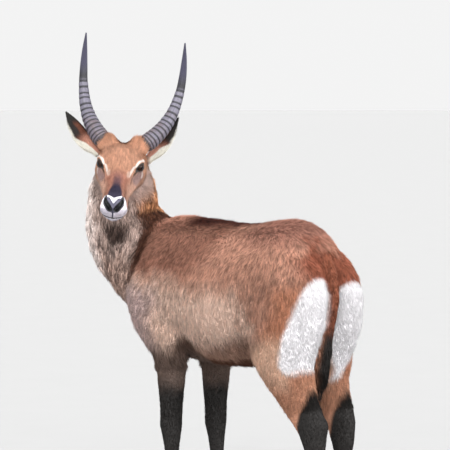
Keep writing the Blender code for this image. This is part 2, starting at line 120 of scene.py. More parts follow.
# ---------------------------------------------------------------- small helpers on arrays
def smooth(x, low, high):
    """0 below low and 1 above high, with a soft step between; reversed where low is above high."""
    t = np.clip((np.asarray(x, float) - low) / (high - low), 0.0, 1.0)
    return t * t * (3 - 2 * t)


def bell(x, width):
    return np.exp(-np.square(np.asarray(x, float) / width))


def to_segment(points, a, b):
    """Distance of points to the segment a-b, and how far along it the nearest place is, 0 to 1."""
    a, b = np.array(a, float), np.array(b, float)
    way = b - a
    t = np.clip((points - a) @ way / (way @ way), 0.0, 1.0)
    return np.linalg.norm(points - a - t[:, None] * way, axis=1), t


def to_path(points, path):
    return np.min([to_segment(points, a, b)[0] for a, b in zip(path, path[1:])], axis=0)


def folded(head_points):
    """Head coordinates with the right half laid on the left one."""
    made = head_points.copy()
    made[:, 1] = np.abs(made[:, 1])
    return made


def cell_noise(cells, salt):
    """A fixed pseudo-random number, 0 to 1, for each whole-numbered cell."""
    i, j, k = np.moveaxis(cells, -1, 0)
    n = ((i * 73856093) ^ (j * 19349663) ^ (k * 83492791) ^ (salt * 2654435)).astype(np.uint64)
    n = (n ^ (n >> np.uint64(13))) * np.uint64(1274126177) & np.uint64(0xFFFFFFFF)
    n = (n ^ (n >> np.uint64(16))) * np.uint64(2246822519) & np.uint64(0xFFFFFFFF)
    return (n ^ (n >> np.uint64(15))).astype(float) / 0xFFFFFFFF


def noise(points, size, salt=0):
    """Smooth noise from -1 to 1, whose lumps are about size across; size may differ by axis."""
    scaled = points / np.asarray(size, float) + 1000.0
    cell = np.floor(scaled).astype(np.int64)
    t = scaled - cell
    t = t * t * (3 - 2 * t)
    total = np.zeros(len(points))
    for corner in range(8):
        step = np.array([corner & 1, corner >> 1 & 1, corner >> 2 & 1])
        weight = np.prod(np.where(step, t, 1 - t), axis=1)
        total += weight * cell_noise(cell + step, salt)
    return 2 * total - 1


def hermite(rows, stops):
    """Rows read smoothly at stops along their first column."""
    rows = np.array(rows, float)
    keys = rows[:, 0]
    slope = np.gradient(rows, keys, axis=0)
    i = np.clip(np.searchsorted(keys, stops, side="right") - 1, 0, len(keys) - 2)
    span = keys[i + 1] - keys[i]
    t = ((stops - keys[i]) / span)[:, None]
    span = span[:, None]
    return ((2 * t**3 - 3 * t**2 + 1) * rows[i] + (t**3 - 2 * t**2 + t) * span * slope[i]
            + (3 * t**2 - 2 * t**3) * rows[i + 1] + (t**3 - t**2) * span * slope[i + 1])


# ---------------------------------------------------------------- small helpers on meshes
WELD = 0.00002               # points nearer than this are one point


def vectors_of(items, key):
    flat = np.empty(len(items) * 3)
    items.foreach_get(key, flat)
    return flat.reshape(-1, 3)


def triangles_of(mesh):
    mesh.calc_loop_triangles()
    flat = np.empty(len(mesh.loop_triangles) * 3, np.int32)
    mesh.loop_triangles.foreach_get("vertices", flat)
    return flat.reshape(-1, 3)


def edges_of(mesh):
    flat = np.empty(len(mesh.edges) * 2, np.int32)
    mesh.edges.foreach_get("vertices", flat)
    return flat.reshape(-1, 2)


def normals_of(mesh):
    return vectors_of(mesh.vertex_normals, "vector")


def mesh_from(name, points, faces):
    """A smooth-shaded mesh; faces is one array of triangles or of quads, or a list of such arrays."""
    groups = faces if isinstance(faces, list) else [faces]
    mesh = bpy.data.meshes.new(name)
    mesh.vertices.add(len(points))
    mesh.vertices.foreach_set("co", np.asarray(points, np.float32).ravel())
    loops = np.concatenate([np.asarray(g, np.int32).ravel() for g in groups])
    sizes = np.concatenate([np.full(len(g), np.shape(g)[1], np.int32) for g in groups])
    mesh.loops.add(len(loops))
    mesh.loops.foreach_set("vertex_index", loops)
    mesh.polygons.add(len(sizes))
    mesh.polygons.foreach_set("loop_start", np.concatenate([[0], np.cumsum(sizes)[:-1]]).astype(np.int32))
    mesh.polygons.foreach_set("use_smooth", np.ones(len(sizes), bool))
    mesh.update(calc_edges=True)
    return mesh


def object_of(name, mesh):
    made = bpy.data.objects.new(name, mesh)
    bpy.context.scene.collection.objects.link(made)
    return made


def taken(made, name):
    """The mesh that an object's modifiers give; the object itself goes."""
    graph = bpy.context.evaluated_depsgraph_get()
    mesh = bpy.data.meshes.new_from_object(made.evaluated_get(graph))
    mesh.name = name
    bpy.data.objects.remove(made)
    return mesh


def paint(mesh, name, values):
    """Stores one number or one colour for each vertex."""
    if values.ndim == 1:
        mesh.attributes.new(name, "FLOAT", "POINT").data.foreach_set("value", values.astype(np.float32))
        return
    layer = mesh.attributes.new(name, "FLOAT_COLOR", "POINT")
    full = np.ones((len(values), 4), np.float32)
    full[:, :3] = values
    layer.data.foreach_set("color", full.ravel())


def paint_vector(mesh, name, values):
    mesh.attributes.new(name, "FLOAT_VECTOR", "POINT").data.foreach_set("vector", values.ravel())


class Web:
    """Which vertices of a mesh are joined, for spreading values over it."""

    def __init__(self, mesh):
        edges = edges_of(mesh)
        self.count = len(mesh.vertices)
        self.ends = np.concatenate([edges, edges[:, ::-1]])
        self.degree = np.maximum(np.bincount(self.ends[:, 0], minlength=self.count), 1)

    def around(self, values):
        """The mean of each vertex's neighbours."""
        flat = values.reshape(self.count, -1)
        start, end = self.ends.T
        sums = [np.bincount(start, column[end], self.count) for column in flat.T]
        return (np.stack(sums, axis=1) / self.degree[:, None]).reshape(values.shape)

    def spread(self, values, rounds):
        for _ in range(rounds):
            values = 0.5 * (values + self.around(values))
        return values

    def faired(self, points, rounds):
        """Smoothed places, without the shrinking that plain averaging brings."""
        for _ in range(rounds):
            for step in (0.50, -0.52):
                points = points + step * (self.around(points) - points)
        return points


def grid_faces(rings, sides):
    """Quads over rings of points, each ring closed."""
    r, k = np.meshgrid(np.arange(rings - 1), np.arange(sides), indexing="ij")
    a, b = r * sides + k, r * sides + (k + 1) % sides
    return np.stack([a, b, b + sides, a + sides], axis=-1).reshape(-1, 4)


def fan_faces(ring_start, sides, pole, outward):
    """Triangles from one ring of points to a single point."""
    k = np.arange(sides)
    a, b = ring_start + k, ring_start + (k + 1) % sides
    p = np.full(sides, pole)
    return np.stack([a, b, p], axis=1) if outward else np.stack([b, a, p], axis=1)


def capped_faces(rings, sides):
    """Faces over rings of points, closed at both ends by two points that come after the rings."""
    size = rings * sides
    return [grid_faces(rings, sides), fan_faces(0, sides, size, False),
            fan_faces(size - sides, sides, size + 1, True)]


def mesh_of(edit, name):
    mesh = bpy.data.meshes.new(name)
    edit.to_mesh(mesh)
    edit.free()
    return mesh


def facing_out(mesh):
    edit = bmesh.new()
    edit.from_mesh(mesh)
    bmesh.ops.recalc_face_normals(edit, faces=edit.faces)
    edit.to_mesh(mesh)
    edit.free()
    return mesh


def move(mesh, points):
    mesh.vertices.foreach_set("co", points.ravel())
    mesh.update()


def dress(mesh, finish):
    mesh.materials.clear()
    mesh.materials.append(finish)
    mesh.polygons.foreach_set("use_smooth", np.ones(len(mesh.polygons), bool))


def welded(node):
    """A CAD node in the shared frame, with its doubled points joined."""
    edit = bmesh.new()
    edit.from_mesh(NODES[node].data)
    edit.transform(NODES[node].matrix_world)
    bmesh.ops.remove_doubles(edit, verts=edit.verts, dist=WELD)
    return edit


# ---------------------------------------------------------------- the body's skin
REGIONS = {"head": ["head"], "neck": ["neck"], "trunk": ["trunk"], "tail": ["tail"],
           "foreleg": ["foreleg_left", "foreleg_right"], "forefoot": ["forefoot_left", "forefoot_right"],
           "thigh": ["thigh_left", "thigh_right"], "hindfoot": ["hindfoot_left", "hindfoot_right"],
           "ear": ["ear_left", "ear_right"]}
# The coat of each region: how deep it lies, how long the hair is, how much the tufts differ from each
# other, and how dark they are at the root. The length of the head's hair comes from hair_length.
COAT_DEPTH, HAIR_LENGTH, TUFT_CONTRAST, ROOT_TONE = range(4)
COAT = {"head": (0.012, 0.0, 0.22, 0.62), "neck": (0.017, 0.052, 0.62, 0.24),
        "trunk": (0.010, 0.031, 0.44, 0.42), "tail": (0.006, 0.030, 0.35, 0.50),
        "foreleg": (0.0045, 0.015, 0.30, 0.70),
        "forefoot": (0.003, 0.0095, 0.25, 0.80), "thigh": (0.009, 0.026, 0.26, 0.52),
        "hindfoot": (0.003, 0.0095, 0.25, 0.80), "ear": (0.003, 0.008, 0.20, 0.70)}
FLESH = [node for region, nodes in REGIONS.items() if region != "ear" for node in nodes]
VOXEL = 0.0080
BODY_KEPT = 0.56             # share of the body's triangles that are kept
FAIRING, DEPTH_SPREAD = 30, 10       # rounds of smoothing the flesh, and of spreading the coat's depth
BRIDGE = 0.0007              # pushes each solid over the thin cut to its neighbour
# Balls that fill the sockets of eye, horn and ear, left side, in the head's axes: middle and radius.
FILLS = [((0.088, 0.075, 0.026), 0.024), ((0.0, 0.052, 0.050), 0.036), ((-0.040, 0.090, -0.030), 0.020)]

# Bone and muscle that show through: from, to, how far they reach, how much they lift the skin,
# in the body's axes, left side.
RELIEF = [
    ((0.15, -0.36, 1.20), (0.20, -0.40, 0.92), 0.045, 0.007),      # shoulder blade
    ((0.20, -0.26, 1.14), (0.23, -0.22, 0.90), 0.040, -0.007),     # the hollow behind it
    ((0.20, -0.41, 0.90), (0.21, -0.33, 0.82), 0.045, 0.007),      # point of the shoulder
    ((0.19, -0.20, 0.84), (0.16, -0.20, 0.72), 0.030, -0.010),     # the fold behind the elbow
    ((0.17, -0.30, 0.80), (0.16, -0.32, 0.68), 0.035, 0.004),      # forearm muscle
    ((0.18, 0.15, 1.19), (0.17, 0.23, 1.19), 0.045, -0.008),       # hollow of the flank
    ((0.17, 0.27, 1.20), (0.14, 0.29, 1.24), 0.030, 0.006),        # point of the hip
    ((0.21, 0.17, 0.92), (0.16, 0.14, 0.76), 0.030, -0.010),       # fold in front of the thigh
    ((0.20, 0.22, 0.80), (0.18, 0.22, 0.68), 0.035, 0.004),        # stifle
    ((0.22, 0.33, 1.04), (0.21, 0.38, 0.80), 0.050, 0.006),        # thigh muscle
    ((0.20, 0.42, 1.02), (0.18, 0.44, 0.74), 0.030, -0.004),       # the groove behind it
    ((0.17, 0.42, 0.62), (0.15, 0.46, 0.54), 0.020, -0.004),       # in front of the hock's cord
    ((0.00, -0.20, 1.27), (0.00, -0.05, 1.26), 0.090, -0.009),     # withers
    ((0.00, 0.26, 1.27), (0.00, 0.36, 1.24), 0.090, -0.007),       # croup
    ((0.06, -0.64, 1.02), (0.06, -0.60, 0.88), 0.080, -0.022),     # brisket
]
RIBS = [-0.10 + 0.045 * k for k in range(6)]


def flesh_object():
    """All the solids of flesh, grown by a hair and with the sockets of eyes, horns and ears filled."""
    merged = bmesh.new()
    for node in FLESH:
        part = welded(node)
        part.normal_update()
        for vert in part.verts:
            vert.co += vert.normal * BRIDGE
        grown = mesh_of(part, "grown")
        merged.from_mesh(grown)
        bpy.data.meshes.remove(grown)
    for side in (1, -1):
        for at, radius in FILLS:
            place = Matrix.Translation(from_head(np.array(at) * (1, side, 1))) @ Matrix.Scale(radius, 4)
            bmesh.ops.create_uvsphere(merged, u_segments=24, v_segments=16, radius=1.0, matrix=place)
    return object_of("flesh", mesh_of(merged, "flesh"))


def node_tree(names):
    """One search tree over the triangles of several CAD nodes, and which name each belongs to."""
    points, faces, owner, count = [], [], [], 0
    for index, group in enumerate(names):
        for node in group:
            mesh = NODES[node].data
            found = triangles_of(mesh)
            place = np.array(NODES[node].matrix_world)
            points.append(vectors_of(mesh.vertices, "co") @ place[:3, :3].T + place[:3, 3])
            faces.append(found + count)
            owner += [index] * len(found)
            count += len(mesh.vertices)
    tree = BVHTree.FromPolygons(np.concatenate(points).tolist(), np.concatenate(faces).tolist())
    return tree, np.array(owner)


region_tree, region_of_face = node_tree(list(REGIONS.values()))


def region_shares(points, web, rounds):
    """For each point, its share of each region, softly blended over the mesh."""
    found = [region_of_face[region_tree.find_nearest(p)[2]] for p in points.tolist()]
    shares = np.eye(len(REGIONS))[found]
    shares = web.spread(shares, rounds)
    return {name: shares[:, k] for k, name in enumerate(REGIONS)}


def by_region(quality, shares):
    """A quality of the coat at each place, from the regions that it belongs to."""
    return sum(COAT[name][quality] * share for name, share in shares.items())


def relief(points):
    """How far bone and muscle lift the skin at each place of the body."""
    b = to_body(points)
    b[:, 0] = np.abs(b[:, 0])
    lift = np.zeros(len(b))
    for a, c, reach, height in RELIEF:
        lift += height * bell(to_segment(b, a, c)[0], reach)
    side = smooth(b[:, 0], 0.10, 0.20) * smooth(b[:, 2], 0.78, 0.90) * smooth(b[:, 2], 1.18, 1.05)
    for y in RIBS:
        lift += 0.0012 * side * bell(b[:, 1] - y - 0.10 * (b[:, 2] - 0.95), 0.012)
    return lift


def body_skin():
    flesh = flesh_object()
    remesh = flesh.modifiers.new("one skin", "REMESH")
    remesh.mode, remesh.voxel_size = "VOXEL", VOXEL
    mesh = taken(flesh, "body")
    web = Web(mesh)
    points = vectors_of(mesh.vertices, "co")
    shares = region_shares(points, web, 3)
    fine = shares["forefoot"] + shares["hindfoot"] + shares["tail"]
    fair = web.faired(points, FAIRING)
    points = points + (fair - points) * (1 - 0.45 * fine)[:, None]
    move(mesh, points)
    normals = normals_of(mesh)
    depth = web.spread(by_region(COAT_DEPTH, shares), DEPTH_SPREAD)
    poll = 0.024 * bell(np.linalg.norm(to_head(points) - (-0.065, 0.0, 0.065), axis=1), 0.055)
    points = points + normals * (relief(points) - depth - poll)[:, None]
    move(mesh, points)
    thinned = object_of("thinned", mesh)
    fewer = thinned.modifiers.new("fewer faces", "DECIMATE")
    fewer.ratio = BODY_KEPT
    return taken(thinned, "body")


# ---------------------------------------------------------------- the head's skin
# along the face, top, bottom, half width, above, below
SKULL = [
    (-0.085, 0.008, -0.050, 0.050, -0.10, -0.10),
    (-0.060, 0.034, -0.085, 0.078, -0.10, -0.20),
    (-0.020, 0.061, -0.110, 0.099, 0.10, -0.30),
    (0.020, 0.072, -0.125, 0.105, 0.15, -0.35),
    (0.060, 0.074, -0.130, 0.106, 0.15, -0.38),
    (0.095, 0.068, -0.125, 0.100, 0.05, -0.40),
    (0.135, 0.058, -0.118, 0.083, -0.12, -0.38),
    (0.180, 0.048, -0.110, 0.067, -0.22, -0.32),
    (0.230, 0.040, -0.103, 0.056, -0.20, -0.22),
    (0.270, 0.034, -0.104, 0.054, -0.12, -0.12),
    (0.300, 0.027, -0.101, 0.054, -0.06, -0.05),
    (0.322, 0.014, -0.085, 0.047, 0.00, 0.00),
    (0.334, -0.006, -0.060, 0.031, 0.00, 0.00),
]
HEAD_RINGS, HEAD_SIDES, NOSE_RINGS = 132, 148, 16
NOSE_SWELL = 0.0045          # how far the nose's closing rings bulge
# Where the head's faces are cut finer, and how often: near the eye, and from a place along the face on.
EYE_FINE, EYE_CUTS = 0.030, 5
MUZZLE_FINE, MUZZLE_CUTS = 0.282, 1

# Rounded masses joined to the skull: middle, radii, softness of the seam. They are the rim of the orbit
# and the haired root of the horn.
MASSES = [((0.078, 0.077, 0.026), (0.036, 0.026, 0.028), 0.22),
          ((0.004, 0.047, 0.052), (0.035, 0.033, 0.035), 0.5),
          ((-0.010, 0.068, 0.054), (0.035, 0.034, 0.035), 0.5),
          ((0.030, 0.044, 0.046), (0.036, 0.030, 0.026), 0.5)]

# Forms under the skin of the face: from, to, reach, height, in the head's axes, left side.
FACE_FORMS = [
    ((0.040, 0.088, 0.055), (0.118, 0.066, 0.048), 0.009, 0.0030),     # brow
    ((0.150, 0.064, 0.010), (0.158, 0.060, 0.002), 0.016, -0.0045),    # hollow before the eye
    ((0.105, 0.084, -0.010), (0.200, 0.060, -0.034), 0.010, 0.0036),   # crest of the cheek
    ((0.165, 0.064, -0.058), (0.225, 0.052, -0.060), 0.018, -0.0040),  # hollow of the cheek
    ((0.045, 0.085, -0.045), (0.060, 0.080, -0.090), 0.030, 0.0045),   # jaw muscle
    ((0.060, 0.045, -0.125), (0.230, 0.030, -0.100), 0.010, 0.0020),   # edge of the jaw
    ((0.010, 0.098, 0.030), (0.030, 0.098, 0.015), 0.014, -0.0050),    # temple
    ((0.150, 0.024, 0.056), (0.285, 0.022, 0.034), 0.008, 0.0014),     # edge of the nose bone
    ((0.190, 0.044, 0.012), (0.270, 0.044, 0.002), 0.014, -0.0028),    # side of the nose
    ((0.060, 0.000, 0.074), (0.130, 0.000, 0.060), 0.014, -0.0020),    # dip of the forehead
    ((-0.060, 0.000, 0.050), (0.010, 0.000, 0.070), 0.018, -0.0080),   # notch between the horns
    ((0.300, 0.050, -0.030), (0.322, 0.034, -0.044), 0.012, 0.0034),   # upper lip's swell
    ((0.262, 0.054, -0.050), (0.304, 0.050, -0.052), 0.010, 0.0030),
    ((0.298, 0.000, -0.100), (0.316, 0.000, -0.090), 0.017, 0.0040),   # chin
]
NOSTRIL = ((0.336, 0.0130, -0.0190), (0.311, 0.0360, 0.0060))    # inner low end, outer high end
NOSTRIL_WAY = unit((0.96, 0.21, 0.19))
# Lines of the face, left side, each laid on the plain skull before it is used.
LINES = {
    "mouth": [(0.330, 0.000, -0.0700), (0.326, 0.018, -0.0680), (0.316, 0.034, -0.0630),
              (0.302, 0.050, -0.0600), (0.275, 0.057, -0.0620), (0.246, 0.056, -0.0700)],
    "cleft": [(0.338, 0.000, -0.022), (0.336, 0.000, -0.045), (0.330, 0.000, -0.069)],
    "streak": [(0.052, 0.100, 0.030), (0.066, 0.093, 0.042), (0.098, 0.074, 0.050), (0.124, 0.060, 0.039),
               (0.160, 0.050, 0.031)],
    "blob": [(0.150, 0.046, 0.038), (0.165, 0.046, 0.033)],
    "rim": [(0.076, 0.104, 0.014), (0.092, 0.101, 0.005), (0.115, 0.093, -0.011)],
    "tear": [(0.118, 0.072, 0.021), (0.135, 0.065, 0.018), (0.165, 0.060, 0.008), (0.195, 0.056, 0.000)],
    "shade": [(0.108, 0.090, 0.000), (0.148, 0.074, -0.004)],
}
FACE = {}

# The opening between the lids, as seen from the way the eye looks.
GAZE = unit((0.62, 0.74, 0.26))
SLIT = unit((0.083, -0.037, -0.011))
SLIT = unit(SLIT - GAZE * (SLIT @ GAZE))
SLIT_UP = np.cross(SLIT, GAZE) * np.sign(np.cross(SLIT, GAZE)[2])
CORNER = math.radians(64)
LID_HIGH, LID_LOW = math.radians(40), math.radians(31)
LID_REACH = 0.034            # how far from the eye's middle the lids' dark rim may lie


def laid(path, tree, steps=5):
    """A path drawn finely on the surface that a search tree holds."""
    t = np.linspace(0, len(path) - 1, steps * (len(path) - 1) + 1)
    fine = np.stack([np.interp(t, np.arange(len(path)), column) for column in np.transpose(path)], axis=1)
    return np.array([tree.find_nearest(p)[0] for p in fine.tolist()])


def to_nostril(p):
    """Distance to the line of the nostril, however deep in the nose a place is, and how far along."""
    start, end = np.array(NOSTRIL)
    end = end - NOSTRIL_WAY * ((end - start) @ NOSTRIL_WAY)
    return to_segment(p - ((p - start) @ NOSTRIL_WAY)[:, None] * NOSTRIL_WAY, start, end)


def nostril_radius(t):
    return 0.0064 + 0.0050 * np.sin(math.pi * np.clip(0.32 + 0.60 * t, 0, 1))


def lid_contour(steps=72):
    """Directions from the eye's middle to the edge of the opening, all the way round."""
    t = np.arange(steps) * 2 * math.pi / steps
    along = CORNER * np.cos(t)
    height = np.where(np.sin(t) > 0, LID_HIGH, LID_LOW) * np.sign(np.sin(t)) * np.abs(np.sin(t)) ** 1.25
    flat = np.cos(height)[:, None] * (np.cos(along)[:, None] * GAZE + np.sin(along)[:, None] * SLIT)
    return flat + np.sin(height)[:, None] * SLIT_UP


def lid_distance(points):
    """Distance, measured on the eyeball, from the edge of the opening: negative inside it."""
    ray = unit(points - EYE)
    contour = lid_contour()
    apart = np.arccos(np.clip(np.max(ray @ contour.T, axis=1), -1, 1)) * EYE_RADIUS
    along, height = np.arctan2(ray @ SLIT, ray @ GAZE), np.arcsin(np.clip(ray @ SLIT_UP, -1, 1))
    edge = np.abs(np.sin(np.arccos(np.clip(along / CORNER, -1, 1)))) ** 1.25
    limit = np.where(height > 0, LID_HIGH, LID_LOW) * edge
    inside = (np.abs(along) < CORNER) & (np.abs(height) < limit)
    return np.where(inside, -apart, apart), height


def skull_grid():
    """The head's plain loft, in its own axes: points, quads and the two closing fans."""
    stops = np.linspace(SKULL[0][0], SKULL[-1][0], HEAD_RINGS)
    rows = hermite(SKULL, stops)
    t = np.arange(HEAD_SIDES) * 2 * math.pi / HEAD_SIDES
    c, s = np.cos(t), np.sin(t)
    coat = 0.0012 + 0.0022 * smooth(stops, 0.30, 0.20)
    rings = []
    for (f, top, bottom, half, above, below), inset in zip(rows, coat):
        full = 1 + np.where(s > 0, above, below) * s * s
        rise = (top - bottom) / 2 - inset
        rings.append(np.stack([np.full(HEAD_SIDES, f), (half - inset) * c * full,
                               (top + bottom) / 2 + rise * s * full], axis=1))
    last = rings[-1]
    centre = last.mean(axis=0)
    for k in range(1, NOSE_RINGS):
        turn = k / NOSE_RINGS * math.pi / 2
        ring = centre + (last - centre) * math.cos(turn) ** 0.9
        ring[:, 0] += NOSE_SWELL * math.sin(turn)
        rings.append(ring)
    ends = [rings[0].mean(axis=0), centre + (NOSE_SWELL, 0, 0)]
    return np.concatenate([*rings, ends]), capped_faces(len(rings), HEAD_SIDES)


def refined(mesh, near, cuts):
    """Splits the edges whose two ends are both chosen by near."""
    edit = bmesh.new()
    edit.from_mesh(mesh)
    chosen = near(np.array([v.co for v in edit.verts]))
    edges = [e for e in edit.edges if chosen[e.verts[0].index] and chosen[e.verts[1].index]]
    bmesh.ops.subdivide_edges(edit, edges=edges, cuts=cuts, use_grid_fill=True)
    bmesh.ops.triangulate(edit, faces=[f for f in edit.faces if len(f.verts) > 4])
    edit.normal_update()
    edit.to_mesh(mesh)
    edit.free()
    mesh.update()


def joined_masses(points):
    """Lets rounded masses stand out of the skull with a soft seam."""
    for at, radii, soft in MASSES:
        away = points - at
        reach = np.linalg.norm(away / radii, axis=1)
        more = np.maximum(soft - np.abs(reach - 1.0), 0.0) ** 2 / (4 * soft)
        points = at + away * ((np.maximum(reach, 1.0) + more) / np.maximum(reach, 1e-6))[:, None]
    return points


def with_lids(points):
    """Draws the skin round the eyeball into two lids with a rounded edge and a fold above."""
    s, height = lid_distance(points)
    away = points - EYE
    radius = np.linalg.norm(away, axis=1)
    edge = EYE_RADIUS + np.interp(s, [-0.0022, -0.0008, 0.0002, 0.0010, 0.0022, 0.0060, 0.0075, 0.0095],
                                  [-0.0050, -0.0016, 0.0009, 0.0020, 0.0026, 0.0028, 0.0020, 0.0030])
    edge = np.where(height > 0, edge, np.minimum(edge, EYE_RADIUS + 0.0021))
    blend = np.maximum(smooth(s, 0.0050, 0.0165), smooth(radius, 0.028, 0.037))
    moved = edge * (1 - blend) + np.maximum(radius, EYE_RADIUS + 0.0012) * blend
    near = (radius < 0.037) & (away @ GAZE > -0.014)
    return np.where(near[:, None], EYE + away * (moved / radius)[:, None], points)


def head_skin():
    mesh = mesh_from("head skin", *skull_grid())
    refined(mesh, lambda p: np.linalg.norm(folded(p) - EYE, axis=1) < EYE_FINE, EYE_CUTS)
    refined(mesh, lambda p: p[:, 0] > MUZZLE_FINE, MUZZLE_CUTS)
    points = vectors_of(mesh.vertices, "co")
    side = np.where(points[:, 1] < 0, -1.0, 1.0)
    normals = normals_of(mesh) * np.stack([np.ones_like(side), side, np.ones_like(side)], axis=1)
    p = joined_masses(folded(points))
    plain = BVHTree.FromPolygons((p * np.stack([side**2, side, side**2], axis=1)).tolist(),
                                 triangles_of(mesh).tolist())
    FACE.update({name: laid(path, plain) for name, path in LINES.items()})
    lift = sum(height * bell(to_segment(p, a, b)[0], reach) for a, b, reach, height in FACE_FORMS)
    skin_grain = 0.0005 * noise(p, 0.006, 3) * smooth(p[:, 0], 0.30, 0.26)
    p = p + normals * (lift + skin_grain)[:, None]
    p = with_lids(p)
    # nostrils, with a rolled wing round each
    apart, t = to_segment(p, *NOSTRIL)
    hole = nostril_radius(t)
    wing = 0.0022 * bell(apart - hole - 0.0022, 0.0030)
    deep = 0.0230 * smooth(apart / hole, 1.0, 0.40)
    inward = unit(normals * 0.55 + np.array((0.60, 0.05, 0.10)))
    # mouth, lips and the cleft of the nose
    mouth, cleft = to_path(p, FACE["mouth"]), to_path(p, FACE["cleft"])
    lips = 0.0018 * bell(mouth - 0.007, 0.0045) - 0.0042 * bell(mouth, 0.0034)
    front = smooth(p[:, 0], 0.20, 0.26)
    groove = -0.0026 * bell(cleft, 0.0020) + 0.0008 * bell(cleft - 0.006, 0.003)
    p = p + normals * (wing + lips * front + groove * smooth(p[:, 0], 0.31, 0.325))[:, None]
    p = p - inward * deep[:, None]
    p[:, 1] *= side
    move(mesh, from_head(p))
    return mesh


# ---------------------------------------------------------------- ears
EARS = {
    1: ((-0.053, 0.099, -0.046), (-0.201, 0.227, 0.097)),
    -1: ((-0.020, 0.100, -0.012), (-0.138, 0.288, 0.122)),
}
EAR_OPENS = (-0.46, 0.75, -0.39)
EAR_LENGTH, EAR_WIDTH, EAR_WALL = 0.230, 0.084, 0.0030
# share of the length, share of the width, half the angle that the cup wraps
EAR_SHAPE = [(0.00, 0.42, 150), (0.10, 0.50, 135), (0.22, 0.72, 105), (0.36, 0.94, 85), (0.52, 1.00, 72),
             (0.68, 0.86, 62), (0.82, 0.58, 52), (0.93, 0.28, 42), (1.00, 0.06, 35)]
EAR_RINGS, EAR_SIDES = 44, 26


def ear_axes(side):
    """Root, way to the tip, the way the cup opens, and across, in the head's axes."""
    mirror = np.array((1.0, side, 1.0))
    root, tip, opens = (np.array(v) * mirror for v in (*EARS[side], EAR_OPENS))
    way = unit(tip - root)
    opens = unit(opens - way * (opens @ way))
    return root, way, opens, np.cross(way, opens)


def ear_skin(side):
    root, way, opens, across = ear_axes(side)
    rows = hermite(EAR_SHAPE, np.linspace(0.0, 0.985, EAR_RINGS))
    tube = EAR_SHAPE[0][1] * EAR_WIDTH / 2
    rings = []
    for s, wide, wrap in rows:
        wrap = math.radians(wrap)
        radius = wide * EAR_WIDTH / 2 / math.sin(min(wrap, math.pi / 2))
        centre = root + way * (EAR_LENGTH * s) + opens * (radius - tube)
        radius -= min(0.0016, 0.2 * radius)
        wall = min(EAR_WALL * (1.1 - 0.6 * s), radius * 0.5)
        sweep = wrap * 0.97 * np.linspace(-1, 1, EAR_SIDES)
        ripple = 0.0009 * np.sin(sweep * 7 + 2) * math.sin(math.pi * s)
        outer = [(radius, a) for a in sweep]
        inner = [(radius - wall + r, a) for a, r in zip(sweep[::-1], ripple)]
        rings.append([centre + r * (across * math.sin(a) - opens * math.cos(a)) for r, a in outer + inner])
    rings = np.array(rings)
    sides = 2 * EAR_SIDES
    size = len(rings) * sides
    faces = grid_faces(len(rings), sides)
    k = np.arange(EAR_SIDES - 1)
    base = np.stack([k, k + 1, sides - 2 - k, sides - 1 - k], axis=1)
    points, faces = rings.reshape(-1, 3), np.concatenate([faces, base[:, ::-1], base + size - sides])
    return facing_out(mesh_from("ear skin", from_head(points), faces))


def one_skin():
    """Body, head and ears as one closed surface."""
    skin = object_of("waterbuck_skin", body_skin())
    for index, mesh in enumerate([head_skin(), ear_skin(1), ear_skin(-1)]):
        other = object_of(f"joined_{index}", mesh)
        union = skin.modifiers.new("joined", "BOOLEAN")
        union.operation, union.solver, union.object = "UNION", "MANIFOLD", other
        mesh = taken(skin, "waterbuck_skin")
        bpy.data.objects.remove(other)
        skin = object_of("waterbuck_skin", mesh)
    return skin


# ---------------------------------------------------------------- colours of the coat, with painted light and shade
COLOURS = {
    "flank": (0.52, 0.280, 0.200), "low flank": (0.74, 0.530, 0.430), "low pale": (0.92, 0.680, 0.560),
    "shoulder": (0.58, 0.430, 0.415), "fore flank": (0.32, 0.150, 0.104), "upper": (0.285, 0.137, 0.096),
    "haunch": (0.55, 0.245, 0.145), "croup": (0.28, 0.125, 0.094), "back": (0.030, 0.006, 0.003),
    # On the next line the colour of folds is painted shade in creases and hollows; the underside's near-black
    # is painted shade.
    "fold": (0.055, 0.020, 0.011), "belly": (0.36, 0.215, 0.160), "under": (0.080, 0.032, 0.018),
    "thigh": (0.74, 0.480, 0.350), "white": (0.96, 0.94, 0.96), "gaskin": (0.52, 0.260, 0.165),
    "black": (0.014, 0.012, 0.011), "arm": (0.130, 0.088, 0.071), "neck": (0.36, 0.265, 0.230),
    # On the next line the dark under the jaw is painted shade, and the pale of the neck's lit front is
    # painted light.
    "neck low": (0.36, 0.240, 0.195), "jaw shade": (0.13, 0.080, 0.065), "neck lit front": (0.74, 0.64, 0.60),
    # On the next line the near-black band under the chin is painted shadow.
    "chin shadow": (0.030, 0.016, 0.012), "nape": (0.40, 0.185, 0.090), "forehead": (0.50, 0.270, 0.180),
    "mound": (0.48, 0.240, 0.150), "cheek": (0.58, 0.350, 0.265), "jaw": (0.62, 0.46, 0.405),
    "bridge": (0.47, 0.220, 0.160), "side": (0.20, 0.080, 0.045), "dusk": (0.18, 0.095, 0.105),
    # On the next line the near-black of the nostrils is painted shade.
    "chin": (0.40, 0.33, 0.26), "hole": (0.004, 0.004, 0.005), "slate": (0.040, 0.034, 0.062),
    "nose": (0.056, 0.053, 0.082), "lip": (0.62, 0.58, 0.65), "ring": (0.90, 0.88, 0.93),
    "streak": (0.72, 0.64, 0.59), "blob": (0.60, 0.41, 0.33), "eye shade": (0.27, 0.185, 0.180),
    "tail": (0.17, 0.055, 0.030), "rump": (0.28, 0.092, 0.054), "ear": (0.105, 0.034, 0.019),
    "ear low": (0.48, 0.230, 0.165), "ear white": (0.68, 0.65, 0.575), "ear skin": (0.42, 0.27, 0.24),
}
COLOURS = {name: np.array(value) for name, value in COLOURS.items()}


def all_over(name, places):
    return np.tile(COLOURS[name], (len(places), 1))


def over(colours, *layers):
    """Lays colours over others, one after another, each by its amount for each place."""
    for name, amount in layers:
        colours = colours + (COLOURS[name] - colours) * np.clip(amount, 0, 1)[:, None]
    return colours


